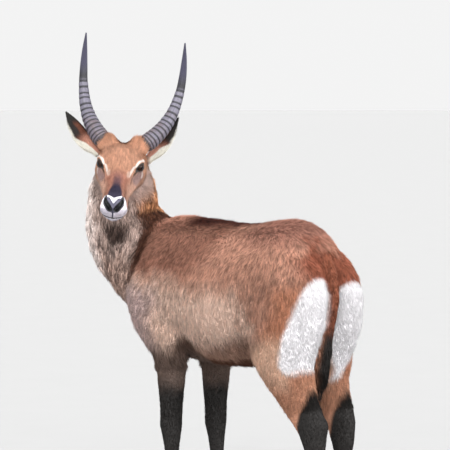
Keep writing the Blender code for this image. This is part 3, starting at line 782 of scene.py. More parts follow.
def trunk_colours(b, wave):
    x, y, z = b.T
    x = np.abs(x)
    low = smooth(z - 0.05 * smooth(y, 0.0, -0.4) + 0.02 * wave, 1.05, 0.92)
    glow = np.hypot((y - 0.03) / 0.17, (z - 0.885) / 0.12) + 0.1 * wave
    belly_line = 0.765 + 0.04 * smooth(y, -0.05, 0.15)
    elbow = np.hypot((y + 0.205) / 0.050, (z - 0.735) / 0.075)
    return over(
        all_over("flank", b),
        ("croup", smooth(z, 1.14, 1.24) * smooth(y, 0.0, 0.2) * 0.8),
        ("haunch", smooth(y, 0.27, 0.38) * smooth(z, 1.06, 0.98) * 0.9),
        ("rump", smooth(y + 0.03 * wave, 0.35, 0.43) * smooth(z, 0.94, 1.02) * smooth(x, 0.200, 0.125)),
        # painted shade between the hind legs, below the tail
        ("fold", smooth(x, 0.100, 0.070) * smooth(y, 0.38, 0.42) * smooth(z, 0.88, 0.80) * 0.85),
        ("fore flank", smooth(y + 0.5 * (1.1 - z) + 0.03 * wave, 0.00, -0.14) * smooth(z, 1.02, 1.10)),
        ("low flank", low * smooth(y + 0.04 * wave, 0.26, 0.10)),
        ("upper", smooth(z + 0.02 * wave, 1.08, 1.16) * smooth(y + 0.03 * wave, -0.02, -0.16) * 0.9),
        ("low pale", smooth(glow, 1.0, 0.3) * 0.8),
        ("shoulder", smooth(y + 0.03 * wave, -0.27, -0.40) * smooth(z + 0.03 * wave, 1.06, 0.94) * 0.9),
        ("back", smooth(z + 0.005 * wave, 1.210, 1.255) * (1 - 0.55 * smooth(y, 0.02, 0.20))
         * smooth(y, -0.34, -0.23)),
        ("belly", smooth(z + 0.012 * wave, belly_line + 0.035, belly_line - 0.040) * smooth(y, -0.27, -0.14)),
        # painted shade: the underside of the belly turns nearly black
        ("under", smooth(z + 0.010 * wave, 0.725, 0.690) * smooth(y, 0.36, 0.20)),
        # painted shade in the fold behind the elbow
        ("fold", smooth(elbow, 1.3, 0.5) * 0.9),
        ("arm", smooth(z + 0.015 * wave, 0.785, 0.705) * smooth(y, -0.14, -0.19)))


def thigh_colours(trunk, b, wave):
    x, y, z = b.T
    front = smooth(y, 0.425, 0.36) * smooth(z, 0.86, 0.76)
    inner = smooth(np.abs(x), 0.085, 0.055)
    return over(
        trunk,
        ("haunch", smooth(z, 0.98, 0.90) * smooth(y, 0.20, 0.30)),
        ("thigh", front * smooth(z, 0.52, 0.62)),
        ("gaskin", smooth(z + 0.02 * wave, 0.69, 0.62) * (1 - 0.7 * front * smooth(z, 0.56, 0.64))),
        # painted shade on the inner thighs, between the hind legs
        ("under", inner * smooth(z, 0.85, 0.75) * smooth(y, 0.44, 0.40) * 0.8))


# The front edges of the white rump, left and right of the tail: height, and how far back.
WHITE_LEFT = ([0.63, 0.67, 0.70, 0.76, 0.80, 0.88, 0.96, 1.02, 1.06, 1.085],
              [0.460, 0.375, 0.340, 0.348, 0.368, 0.398, 0.428, 0.445, 0.468, 0.500])
WHITE_RIGHT = ([0.60, 0.64, 0.68, 0.72, 0.80, 0.88, 0.96, 1.02, 1.055],
               [0.375, 0.385, 0.392, 0.390, 0.388, 0.400, 0.428, 0.455, 0.500])
# Its left edge beside the tail, and the taper of its right part: height, and how far to the left.
TAIL_LEFT = ([0.67, 0.715, 0.775, 0.835, 0.88], [0.100, 0.085, 0.066, 0.042, 0.026])
TAPER_RIGHT = ([0.62, 0.64, 0.66, 0.68, 0.71, 0.74, 0.80],
               [-0.085, -0.098, -0.112, -0.122, -0.138, -0.165, -0.300])


def rump_white(b, wave):
    """The white ovals on both sides of the tail; the right one tapers down behind it."""
    x, y, z = b.T
    left = x > 0.02
    edge = np.where(left, np.interp(z, *WHITE_LEFT), np.interp(z, *WHITE_RIGHT))
    rear = smooth(y + 0.007 * wave, edge - 0.014, edge + 0.014)
    tall = np.where(left, smooth(z + 0.010 * wave, 0.650, 0.690) * smooth(z, 1.085, 1.050),
                    smooth(z + 0.008 * wave, 0.615, 0.640) * smooth(z, 1.055, 1.030))
    near, far = np.interp(z, *TAIL_LEFT), np.interp(z, *TAPER_RIGHT)
    inner = np.where(left, smooth(x, near, near + 0.014),
                     smooth(x, 0.005, -0.010) * smooth(x + 0.006 * wave, far - 0.010, far + 0.010))
    high = smooth(z, 1.02, 0.99) * smooth(y, 0.40, 0.43) * smooth(z, 0.84, 0.90)
    return rear * tall * np.clip(inner + high, 0, 1)


def leg_black(b, wave):
    """Where the lower legs turn black: slanting up behind on the hind legs."""
    x, y, z = b.T
    hind = smooth(z + 0.015 * wave - 3.0 * (y - 0.405) - 0.05 * smooth(x, 0.05, -0.05), 0.490, 0.420)
    return np.where(y > 0.05, hind, smooth(z + 0.02 * wave, 0.64, 0.54))


# The edge of the neck's long hair on the trunk: height, and how far back.
MANE = ([0.953, 1.011, 1.088, 1.158, 1.199, 1.292], [-0.554, -0.495, -0.451, -0.438, -0.443, -0.502])


def before_fold(b):
    edge = np.interp(b[:, 2], *MANE)
    return smooth(b[:, 1], edge + 0.012, edge - 0.012)


def mane_share(b):
    return before_fold(b) * smooth(b[:, 2], 0.84, 0.92)


# Which way the middle of the neck's front faces, by height, in degrees to the left.
NECK_TURN = ([0.99, 1.08, 1.18, 1.285, 1.385, 1.47], [0, 6, 22, 50, 82, 108])


def neck_colours(b, normals, wave):
    x, y, z = b.T
    turn = np.radians(np.interp(z, *NECK_TURN))
    front = normals[:, 0] * np.sin(turn) - normals[:, 1] * np.cos(turn)
    edge = smooth(normals @ (-0.64, 0.77, 0.0) + 0.15 * wave, 0.15, 0.55)
    edge *= smooth(normals @ (0.77, 0.64, 0), -0.45, 0.1)
    pale = smooth(y + 0.02 * wave, -0.655, -0.735) * smooth(z, 0.98, 1.10)
    chin_shadow_band = smooth(y + 0.012 * wave, -0.665, -0.615) * smooth(y, -0.510, -0.550) * smooth(x, -0.03, 0.06)
    return over(
        all_over("neck", b),
        ("neck low", smooth(z + 0.03 * wave, 1.20, 1.08) * 0.8),
        # painted light on the front of the neck, on its left, lit side only
        ("neck lit front", pale * smooth(x + 0.03 * wave, -0.08, 0.10)),
        ("nape", smooth(front + 0.15 * wave, -0.05, -0.60) * smooth(z, 1.10, 1.25) * 0.6),
        ("nape", edge * smooth(z, 1.16, 1.24)),
        # painted shadow in a band under the chin
        ("chin shadow", chin_shadow_band * smooth(z + 0.015 * wave, 1.150, 1.215) * smooth(z, 1.300, 1.240) * 0.92))


# Edges of the white ring and of the bare nose: how far out, and how high as seen from the front.
RING = ([0.000, 0.012, 0.028, 0.040, 0.050, 0.058], [-0.162, -0.156, -0.152, -0.158, -0.178, -0.215])
NOSE_TOP = ([0.000, 0.0095, 0.0155, 0.022, 0.032, 0.040, 0.046],
            [-0.183, -0.1710, -0.1625, -0.1595, -0.1615, -0.171, -0.197])
NOSE_LOW = ([0.000, 0.008, 0.012, 0.020, 0.030, 0.040, 0.046],
            [-0.226, -0.222, -0.219, -0.2150, -0.208, -0.196, -0.184])


def front_height(p):
    """How high a place of the head is, as seen from the front."""
    return 0.82 * p[:, 2] - 0.57 * p[:, 0]


def head_colours(h, wave):
    p = folded(h)
    f, o, u = p.T
    side = smooth(u + 0.10 * smooth(f, 0.16, 0.06) + 0.008 * wave, 0.022, -0.010)
    under_jaw_shade = smooth(u, -0.108, -0.124) * smooth(f, 0.24, 0.20) * smooth(o, 0.05, 0.02)
    # a dusky band down the bridge, and the slate patch above the nose
    dusk = smooth(o + 0.004 * wave, 0.027, 0.010) * smooth(f, 0.150, 0.205) * smooth(u, 0.0, 0.03)
    half = np.interp(f, [0.205, 0.240, 0.265, 0.290], [0.011, 0.020, 0.027, 0.033])
    slate = smooth(o + 0.002 * wave, half + 0.006, half - 0.006) * smooth(f + 0.004 * wave, 0.205, 0.245)
    # round the eye, the painted shade in the notch on the crown, and the dark hair between horn and ear
    tear = to_path(p, FACE["tear"]) + 0.02 * np.maximum(f - 0.15, 0)
    lids = smooth(lid_distance(p)[0], 0.0050, 0.0030) * (np.linalg.norm(p - EYE, axis=1) < LID_REACH)
    notch = np.linalg.norm(p - (-0.010, 0.0, 0.066), axis=1)
    behind = to_segment(p, (-0.045, 0.085, 0.030), (-0.050, 0.105, -0.010))[0]
    # muzzle
    v, line = front_height(p) + 0.0008 * wave, np.interp(o, *RING)
    ring = smooth(v, line + 0.0015, line - 0.0015) * smooth(f, 0.262, 0.285)
    lower = smooth(to_path(p, FACE["mouth"]), 0.022, 0.014) * smooth(f, 0.236, 0.252)
    chin = smooth(f, 0.258, 0.276) * smooth(u, -0.070, -0.080)
    return muzzle_dark(over(
        all_over("forehead", h) * (1 + 0.16 * noise(h, (0.022, 0.0035, 0.010), 7)[:, None]),
        ("mound", smooth(f, 0.05, 0.00)),
        ("bridge", smooth(f, 0.13, 0.18)),
        ("cheek", side * smooth(f, 0.30, 0.27)),
        ("side", bell(to_segment(p, (0.190, 0.047, 0.022), (0.285, 0.048, 0.000))[0], 0.015)),
        ("jaw", smooth(u + 0.010 * wave, -0.030, -0.075)),
        # painted shade under the jaw
        ("jaw shade", under_jaw_shade * 0.8),
        ("dusk", dusk * 0.9),
        ("slate", slate * smooth(u, -0.01, 0.02)),
        ("eye shade", smooth(to_path(p, FACE["shade"]), 0.030, 0.010) * 0.85),
        ("streak", smooth(to_path(p, FACE["streak"]) + 0.0008 * wave, 0.0058, 0.0034)),
        ("blob", smooth(to_path(p, FACE["blob"]), 0.0095, 0.0050)),
        ("streak", smooth(to_path(p, FACE["rim"]), 0.0048, 0.0028) * 0.8),
        ("black", smooth(tear, 0.0060, 0.0022) * smooth(f, 0.200, 0.165) * 0.8),
        ("black", lids),
        # painted shade in the notch between the horns
        ("fold", smooth(notch, 0.034, 0.016) * 0.85),
        ("black", smooth(behind, 0.026, 0.014) * 0.9),
        ("ring", ring),
        ("lip", np.maximum.reduce([lower, chin, ring * smooth(v, -0.200, -0.214)])),
        ("chin", smooth(u, -0.086, -0.100) * smooth(f, 0.27, 0.29) * 0.6)), p)


def nose_pad(p):
    """Share of bare dark nose: round the nostrils and between them down to the lip."""
    f, o, _ = p.T
    apart, t = to_nostril(p)
    rim = smooth(apart - nostril_radius(t), 0.0046, 0.0026)
    v, top, low = front_height(p), np.interp(o, *NOSE_TOP), np.interp(o, *NOSE_LOW)
    pad = smooth(v, top + 0.0012, top - 0.0012) * smooth(v, low - 0.0012, low + 0.0012)
    return np.maximum(rim, pad * smooth(o, 0.046, 0.043)) * smooth(f, 0.280, 0.292)


def muzzle_dark(made, p):
    front = smooth(p[:, 0], 0.228, 0.245)
    apart, t = to_nostril(p)
    return over(
        made,
        ("nose", nose_pad(p)),
        # painted shade: near-black in and just round the nostrils' openings
        ("hole", smooth(apart / nostril_radius(t), 1.26, 1.05) * smooth(p[:, 0], 0.270, 0.285)),
        ("nose", smooth(to_path(p, FACE["cleft"]), 0.0040, 0.0024) * front),
        # the dark along the mouth: the lips' own bare edge, with painted shade for the slit between them
        ("black", smooth(to_path(p, FACE["mouth"]), 0.0078, 0.0038) * front))


def on_ear(h, side):
    """Share of the ear's length, share of its half width toward the lower edge, and depth in the cup."""
    root, way, opens, across = ear_axes(side)
    away = h - root
    s = away @ way / EAR_LENGTH
    half = EAR_WIDTH / 2 * np.interp(s, *np.transpose(EAR_SHAPE)[:2])
    return s, -away @ across * side / np.maximum(half, 0.004), away @ opens


def ear_colours(h, wave):
    """Chestnut behind, black at the tip and along the upper part, white along the lower edge."""
    made = all_over("ear", h)
    for side in (1, -1):
        s, a, d = on_ear(h, side)
        low = 0.86 - 0.22 * smooth(s, 0.50, 0.28)
        painted = over(
            all_over("ear", h),
            ("ear low", smooth(s + 0.05 * wave, 0.50, 0.30)),
            ("ear skin", smooth(d, 0.002, 0.008) * 0.6),
            ("black", smooth(s + 0.03 * wave, 0.68, 0.80)),
            ("black", smooth(a + 0.1 * wave, 0.20, 0.42) * smooth(s, 0.42, 0.56) * 0.95),
            ("black", smooth(a + 0.1 * wave, -0.25, -0.50) * 0.9),
            ("ear white", smooth(a + 0.08 * wave, low - 0.06, low + 0.06) * smooth(s, 0.86, 0.72)))
        made = np.where((h[:, 1] * side > 0)[:, None], painted, made)
    return made


def markings(points, normals, shares):
    """The coat's colour at each place, the same for skin and hair, painted shade and painted light included.
    """
    b, h = to_body(points), to_head(points)
    _, y, z = b.T
    wave = noise(points, 0.045, 1) + 0.5 * noise(points, 0.020, 2)
    mane = mane_share(b) * shares["trunk"]
    long_ = shares["neck"] * np.maximum(before_fold(b), smooth(z, 1.30, 1.34)) + mane
    trunk = trunk_colours(b, wave)
    arm = over(trunk, ("arm", smooth(z + 0.015 * wave, 0.785, 0.705)))
    flesh = trunk * (shares["trunk"] + shares["neck"] - long_)[:, None]
    flesh += thigh_colours(trunk, b, wave) * (shares["thigh"] + shares["hindfoot"])[:, None]
    flesh += arm * (shares["foreleg"] + shares["forefoot"])[:, None]
    flesh += neck_colours(b, normals, wave) * long_[:, None]
    # painted shade along the crease where the neck's long hair meets the shoulder
    crease = smooth(np.abs(y - np.interp(z, *MANE)) + 0.006 * wave, 0.036, 0.010)
    crease *= smooth(z, 1.00, 1.09) * smooth(z, 1.335, 1.30)
    flesh = over(flesh, ("fold", crease * (shares["trunk"] + shares["neck"]) * 0.95))
    tail_black = smooth(z + 0.02 * wave, 0.90, 0.80) + smooth(normals[:, 0], -0.2, -0.8) * 0.6
    flesh += over(all_over("tail", b), ("black", tail_black)) * shares["tail"][:, None]
    flesh += head_colours(h, wave) * shares["head"][:, None]
    flesh += ear_colours(h, wave) * shares["ear"][:, None]
    torso = shares["trunk"] + shares["thigh"] + shares["hindfoot"]
    legs = shares["foreleg"] + shares["forefoot"] + shares["hindfoot"] + shares["thigh"]
    pastern = bell(z - 0.078, 0.012) * (shares["forefoot"] + shares["hindfoot"])
    return over(
        flesh,
        ("white", rump_white(b, wave) * np.clip(1.3 * torso, 0, 1)),
        ("black", leg_black(b, wave) * np.clip(1.5 * legs, 0, 1)),
        ("white", smooth(pastern + 0.1 * wave, 0.45, 0.75) * 0.9))


# ---------------------------------------------------------------- lie and length of the hair, and bare skin
# The way the hair points where it simply hangs, in the body's axes.
HANGING = {"thigh": (0.0, 0.12, -1.0), "neck": (-0.05, 0.10, -1.0), "foreleg": (0.0, 0.10, -1.0),
           "forefoot": (0.0, 0.10, -1.0), "hindfoot": (0.0, 0.10, -1.0), "tail": (0.05, -0.05, -1.0)}


def lie_of_hair(points, normals, shares):
    """The way the hair points at each place, lying in the skin."""
    b, h = to_body(points), to_head(points)
    f, o, u = folded(h).T
    _, y, z = b.T
    n = len(points)
    fore, top = smooth(y, -0.20, -0.40), smooth(z, 1.18, 1.27)
    trunk = np.stack([np.zeros(n), 0.10 - 0.40 * fore + 1.5 * top, -1 + 0.8 * top], axis=1)
    trunk += smooth(z, 0.76, 0.70)[:, None] * np.array((0.0, 0.9, 0.1))
    # on the face: back from the nose, round the eye, down the cheek, and up on to the crown
    mound, front = smooth(f, 0.055, 0.015) * smooth(u, 0.02, 0.05), smooth(f, 0.318, 0.330)
    outward = 0.35 * smooth(f, 0.10, 0.02) + 0.4 * mound * smooth(o, 0.02, 0.05) + 2.0 * front
    upward = 0.7 * mound - 0.8 * front - 0.9 * smooth(u, 0.00, -0.06)
    head = np.stack([-np.ones(n), outward * np.sign(h[:, 1]), upward], axis=1) @ HEAD_AXES
    ear = np.zeros((n, 3))
    for side in (1, -1):
        _, way, opens, across = ear_axes(side)
        s, a, _ = on_ear(h, side)
        out = 1.4 * (smooth(a, 0.55, 0.95) * smooth(s, 0.85, 0.70))[:, None]
        mine = (h[:, 1] * side > 0)[:, None]
        ear = np.where(mine, (way - out * (across * side + 0.3 * opens)) @ HEAD_AXES, ear)
    ways = {**HANGING, "trunk": trunk, "head": head, "ear": ear}
    lie = sum(np.asarray(way) * shares[name][:, None] for name, way in ways.items())
    return lie - normals * np.sum(lie * normals, axis=1)[:, None]


def hair_length(points, shares):
    b, h = to_body(points), to_head(points)
    p = folded(h)
    f, o, u = p.T
    z = b[:, 2]
    face = 0.0075 + 0.0045 * smooth(f, 0.12, 0.0) * smooth(u, 0.02, 0.05)
    face += 0.013 * smooth(f, 0.045, 0.010) * smooth(u, 0.03, 0.06) * smooth(o, 0.010, 0.035)
    face += 0.018 * smooth(u, -0.02, -0.07) * smooth(f, 0.18, 0.09) + 0.014 * smooth(f, 0.04, -0.03)
    face -= 0.0040 * smooth(f, 0.25, 0.30)
    face *= 1 - 0.6 * smooth(to_path(p, FACE["mouth"]), 0.018, 0.009)
    face *= 1 - 0.45 * smooth(np.linalg.norm(p - EYE, axis=1), 0.040, 0.026)
    face += 0.0060 * smooth(u, -0.088, -0.100) * smooth(f, 0.27, 0.29)
    length = by_region(HAIR_LENGTH, shares)
    for side in (1, -1):
        s, a, _ = on_ear(h, side)
        edge = smooth(a, 0.70, 0.95) * (0.35 + 0.65 * smooth(s, 0.60, 0.40)) * smooth(s, 0.90, 0.75)
        length += 0.010 * edge * shares["ear"] * (h[:, 1] * side > 0)
    length += face * shares["head"]
    nape = smooth(f, -0.130, -0.015) * smooth(u, -0.05, 0.01)
    length -= 0.034 * nape * shares["neck"]
    length += (0.016 * mane_share(b) + 0.010 * smooth(z, 0.78, 0.70)) * shares["trunk"]
    length += 0.040 * smooth(z, 0.86, 0.74) * shares["tail"]
    rump = smooth(b[:, 1], 0.42, 0.47) * smooth(z, 1.02, 0.92)
    return length + 0.002 * rump * (shares["thigh"] + shares["trunk"])


def bare(points, shares):
    """Share of bare skin: nose, lips' edges, lid rims, nostrils."""
    p = folded(to_head(points))
    apart, t = to_nostril(p)
    hole = smooth(apart - nostril_radius(t), 0.002, 0.0) * smooth(p[:, 0], 0.270, 0.285)
    nose = np.maximum.reduce([nose_pad(p), hole, smooth(to_path(p, FACE["mouth"]), 0.0085, 0.0065)])
    nose *= smooth(p[:, 0], 0.230, 0.250)
    nose = np.maximum(nose, smooth(to_path(p, FACE["cleft"]), 0.0036, 0.0024))
    lid = smooth(lid_distance(p)[0], 0.0042, 0.0026) * (np.linalg.norm(p - EYE, axis=1) < LID_REACH)
    return np.maximum(nose, lid) * np.clip(1.5 * shares["head"], 0, 1)


# ---------------------------------------------------------------- materials
class Socket:
    """The output of a node. Arithmetic on it adds Math nodes to its finish."""

    def __init__(self, finish, link):
        self.finish, self.link = finish, link

    def math(self, operation, *values, clamp=False):
        settings = {"operation": operation, "use_clamp": clamp}
        return self.finish.node("ShaderNodeMath", settings, dict(enumerate(values)))

    def __add__(self, other):
        return self.math("ADD", self, other)

    def __sub__(self, other):
        return self.math("SUBTRACT", self, other)

    def __rsub__(self, other):
        return self.math("SUBTRACT", other, self)

    def __mul__(self, other):
        return self.math("MULTIPLY", self, other)

    __radd__, __rmul__ = __add__, __mul__

    def clamped(self):
        return self.math("ADD", self, 0.0, clamp=True)


class Finish:
    """A material on one Principled BSDF; its constants go straight on the shader's sockets."""

    def __init__(self, name, **constants):
        self.material = bpy.data.materials.new(name)
        self.material.use_nodes = True
        self.tree = self.material.node_tree
        self.shader = self.tree.nodes["Principled BSDF"]
        for key, value in constants.items():
            self.shader.inputs[key.replace("_", " ")].default_value = value

    def node(self, kind, settings=None, inputs=None, output=0):
        """A node of a type: its settings first, then the values or links of its sockets."""
        made = self.tree.nodes.new(kind)
        for key, value in (settings or {}).items():
            setattr(made, key, value)
        for key, value in (inputs or {}).items():
            self.feed(made.inputs[key], value)
        return Socket(self, made.outputs[output])

    def feed(self, socket, value):
        if isinstance(value, Socket):
            self.tree.links.new(value.link, socket)
        else:
            socket.default_value = value

    def stored(self, name, output="Fac"):
        return self.node("ShaderNodeAttribute", {"attribute_name": name}, output=output)

    def place(self):
        return self.node("ShaderNodeTexCoord", output="Object")

    def noise(self, scale, detail=2.0, roughness=0.5, place=None):
        values = {"Vector": place or self.place(), "Scale": scale, "Detail": detail, "Roughness": roughness}
        return self.node("ShaderNodeTexNoise", {}, values, output="Fac")

    def mixed(self, factor, a, b, blend="MIX"):
        values = {0: factor, 6: a, 7: b}
        return self.node("ShaderNodeMix", {"data_type": "RGBA", "blend_type": blend}, values, output=2)

    def colour(self, value):
        self.feed(self.shader.inputs["Base Color"], value)

    def roughness(self, value):
        self.feed(self.shader.inputs["Roughness"], value)

    def bump(self, height, strength, distance):
        values = {"Height": height, "Strength": strength, "Distance": distance}
        self.feed(self.shader.inputs["Normal"], self.node("ShaderNodeBump", {}, values))


def grey(value):
    return (value, value, value, 1.0)


def coat_finish():
    """Hair: darker at the root, paler at the tip, and no two tufts quite alike."""
    made = Finish("coat", Specular_IOR_Level=0.14)
    along, tone = made.stored("along"), made.stored("tone")
    base, root = made.stored("coat_colour", "Color"), made.stored("root")
    streak = made.noise(900.0, 2.0, 0.6) * 0.24 + 0.88
    shade = (root + (1.0 - root) * 1.75 * along) * tone * streak
    shade = made.node("ShaderNodeCombineColor", {}, {0: shade, 1: shade, 2: shade})
    made.colour(made.mixed(1.0, base, shade, "MULTIPLY"))
    made.roughness(0.72 - along * 0.16)
    made.bump(made.noise(1400.0, 1.0), 0.25, 0.0006)
    return made.material


def skin_finish():
    """Skin under the coat, with a fine nap, and the bare damp skin of nose, lips and lids."""
    made = Finish("skin", Specular_IOR_Level=0.40)
    bare_share = made.stored("bare")
    base = made.stored("coat_colour", "Color")
    nap = made.noise(420.0, 4.0, 0.6)
    patch = made.noise(60.0, 3.0, 0.5)
    pale = ((made.stored("coat_colour") - 0.55) * 3.0).clamped()
    under = made.mixed(pale * 0.8, made.mixed(1.0, base, grey(0.62), "MULTIPLY"), base)
    haired = made.mixed((nap * 1.5 - 0.25).clamped(), under, base)
    haired = made.mixed((patch * 0.5).clamped(), haired, under)
    made.colour(made.mixed(bare_share, haired, base))
    made.roughness(0.78 - bare_share * 0.40 + nap * 0.08)
    pebbles = made.node("ShaderNodeTexVoronoi", {}, {"Vector": made.place(), "Scale": 650.0}, "Distance")
    made.bump(nap * (1 - bare_share) + pebbles * bare_share * 0.5, 0.55, 0.0012)
    return made.material


def horn_finish():
    """Ridged grey horn with painted shade on its far sides, dark grooves, fine strands along it and a smooth
    dark tip.
    """
    made = Finish("horn", Specular_IOR_Level=0.5)
    ridge_and_side_shade, along = made.stored("ridge_and_side_shade"), made.stored("along")
    grain = made.noise(1.0, 5.0, 0.6, made.stored("strand", "Vector"))
    flecks = made.noise(240.0, 4.0, 0.65)
    # worn is high on the pale worn ridges, and low in the grooves and in the painted shade on the horn's far
    # sides
    worn = ((ridge_and_side_shade - 0.48) * 2.6 + (flecks - 0.5) * 0.8).clamped()
    body = made.mixed(worn, (0.018, 0.017, 0.024, 1.0), (0.160, 0.148, 0.196, 1.0))
    body = made.mixed((grain * 1.6 - 0.45).clamped(), made.mixed(1.0, body, grey(0.45), "MULTIPLY"), body)
    grime = (made.noise(26.0, 3.0, 0.6) * 2.4 - along * 2.2 - 0.40).clamped()
    body = made.mixed(grime * (worn * 0.5 + 0.25), body, (0.085, 0.048, 0.040, 1.0))
    tip = made.mixed(grain, (0.022, 0.022, 0.038, 1.0), (0.064, 0.061, 0.102, 1.0))
    made.colour(made.mixed(((along - 0.66) * 10.0).clamped(), body, tip))
    made.roughness(0.62 - worn * 0.14 - ((along - 0.66) * 8.0).clamped() * 0.20)
    made.bump(grain * 0.6 + flecks * 0.4, 0.45, 0.0012)
    return made.material


def hoof_finish():
    """Black-brown horn of the claws, with growth rings across and fine scratches down it."""
    made = Finish("hoof", Specular_IOR_Level=0.5)
    rings = made.node("ShaderNodeTexWave", {"bands_direction": "Z", "wave_profile": "SIN"},
                      {"Vector": made.place(), "Scale": 42.0, "Distortion": 2.2, "Detail": 2.0}, "Fac")
    drawn = made.node("ShaderNodeMapping", {}, {"Vector": made.place(), "Scale": (9.0, 9.0, 1.0)})
    strands = made.noise(120.0, 4.0, 0.6, drawn)
    dust = made.noise(38.0, 4.0, 0.6)
    body = made.mixed((strands * 1.3 - 0.2).clamped(), (0.016, 0.013, 0.012, 1.0), (0.075, 0.062, 0.052, 1.0))
    made.colour(made.mixed((dust * 0.9 - 0.25).clamped(), body, (0.16, 0.125, 0.095, 1.0)))
    made.roughness(0.38 + dust * 0.30)
    made.bump(rings * 0.7 + strands * 0.3, 0.40, 0.0010)
    return made.material


def eye_finish():
    """A dark wet eye: brown iris with fine rays and a long level pupil."""
    made = Finish("eye", Roughness=0.06, Specular_IOR_Level=0.14, Coat_Weight=0.12, Coat_Roughness=0.02)
    iris, pupil = made.stored("iris"), made.stored("pupil")
    rays = made.noise(1.0, 4.0, 0.65, made.stored("ray", "Vector"))
    brown = made.mixed((rays * 1.5 - 0.3).clamped(), (0.006, 0.003, 0.002, 1.0), (0.034, 0.013, 0.006, 1.0))
    ball = made.mixed(iris, (0.016, 0.010, 0.009, 1.0), brown)
    made.colour(made.mixed(pupil, ball, (0.0025, 0.0025, 0.004, 1.0)))
    return made.material


def lash_finish():
    made = Finish("lashes", Specular_IOR_Level=0.4)
    shade = made.noise(700.0, 2.0)
    made.colour(made.mixed(shade, (0.008, 0.006, 0.005, 1.0), (0.030, 0.022, 0.018, 1.0)))
    made.roughness(0.45 + shade * 0.1)
    return made.material


def floor_finish():
    made = Finish("studio floor", Specular_IOR_Level=0.1)
    grain = made.noise(3.0, 3.0)
    made.colour(made.mixed(grain, grey(0.41), grey(0.43)))
    made.roughness(0.85 + grain * 0.1)
    return made.material


# ---------------------------------------------------------------- eyes
EYE_SIDES, EYE_RINGS = 96, 60
EYE_GAP, CORNEA = 0.0006, 0.0011     # how far the ball keeps from the lids, and how far its front bulges


def eye_piece(side, finish):
    mirror = np.array((1.0, side, 1.0))
    turn = (np.arange(EYE_RINGS) + 1) / (EYE_RINGS + 1) * math.pi
    round_ = np.arange(EYE_SIDES) * 2 * math.pi / EYE_SIDES
    rays, flats = [], []
    for t in turn:
        a, b = math.sin(t) * np.cos(round_), math.sin(t) * np.sin(round_)
        rays.append(math.cos(t) * GAZE + a[:, None] * SLIT + b[:, None] * SLIT_UP)
        flats.append(np.stack([np.full(EYE_SIDES, t), a, b], axis=1))
    rays = np.concatenate(rays + [[GAZE], [-GAZE]])
    flats = np.concatenate(flats + [[(0.0, 0.0, 0.0)], [(math.pi, 0.0, 0.0)]])
    bulge = CORNEA * smooth(flats[:, 0], 0.95, 0.50)
    points = (EYE + rays * (EYE_RADIUS - EYE_GAP + bulge)[:, None]) * mirror
    faces = capped_faces(EYE_RINGS, EYE_SIDES)
    if side > 0:
        faces = [f[:, ::-1] for f in faces]
    mesh = mesh_from("eye", from_head(points), faces)
    angle = np.arctan2(flats[:, 2], flats[:, 1])
    paint(mesh, "iris", smooth(flats[:, 0], 0.92, 0.84))
    paint(mesh, "pupil", smooth(np.hypot(flats[:, 1] / 0.42, flats[:, 2] / 0.22), 1.04, 0.94))
    paint_vector(mesh, "ray", np.stack([9 * np.cos(angle), 9 * np.sin(angle), 1.5 * flats[:, 0]], axis=1))
    mesh.materials.append(finish)
    name = "left" if side > 0 else "right"
    piece = object_of(f"eyeball_{name}", mesh)
    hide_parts(f"eye_{name}")
    return piece


# ---------------------------------------------------------------- horns
# along the face, out, up, radius, from inside the skull to the tip of the left horn
HORN = [
    (0.000, 0.050, 0.048, 0.0240),
    (-0.027, 0.091, 0.064, 0.0350),
    (-0.075, 0.129, 0.078, 0.0335),
    (-0.123, 0.156, 0.090, 0.0300),
    (-0.197, 0.188, 0.128, 0.0235),
    (-0.238, 0.199, 0.156, 0.0205),
    (-0.268, 0.206, 0.185, 0.0180),
    (-0.298, 0.210, 0.231, 0.0160),
    (-0.315, 0.211, 0.301, 0.0115),
    (-0.322, 0.209, 0.390, 0.0030),
]
HORN_SIDES, HORN_STEPS, HORN_RINGS = 56, 420, 13
FIRST_RING, LAST_RING, RING_HEIGHT = 0.100, 0.64, 0.110
HORN_SEED = 11


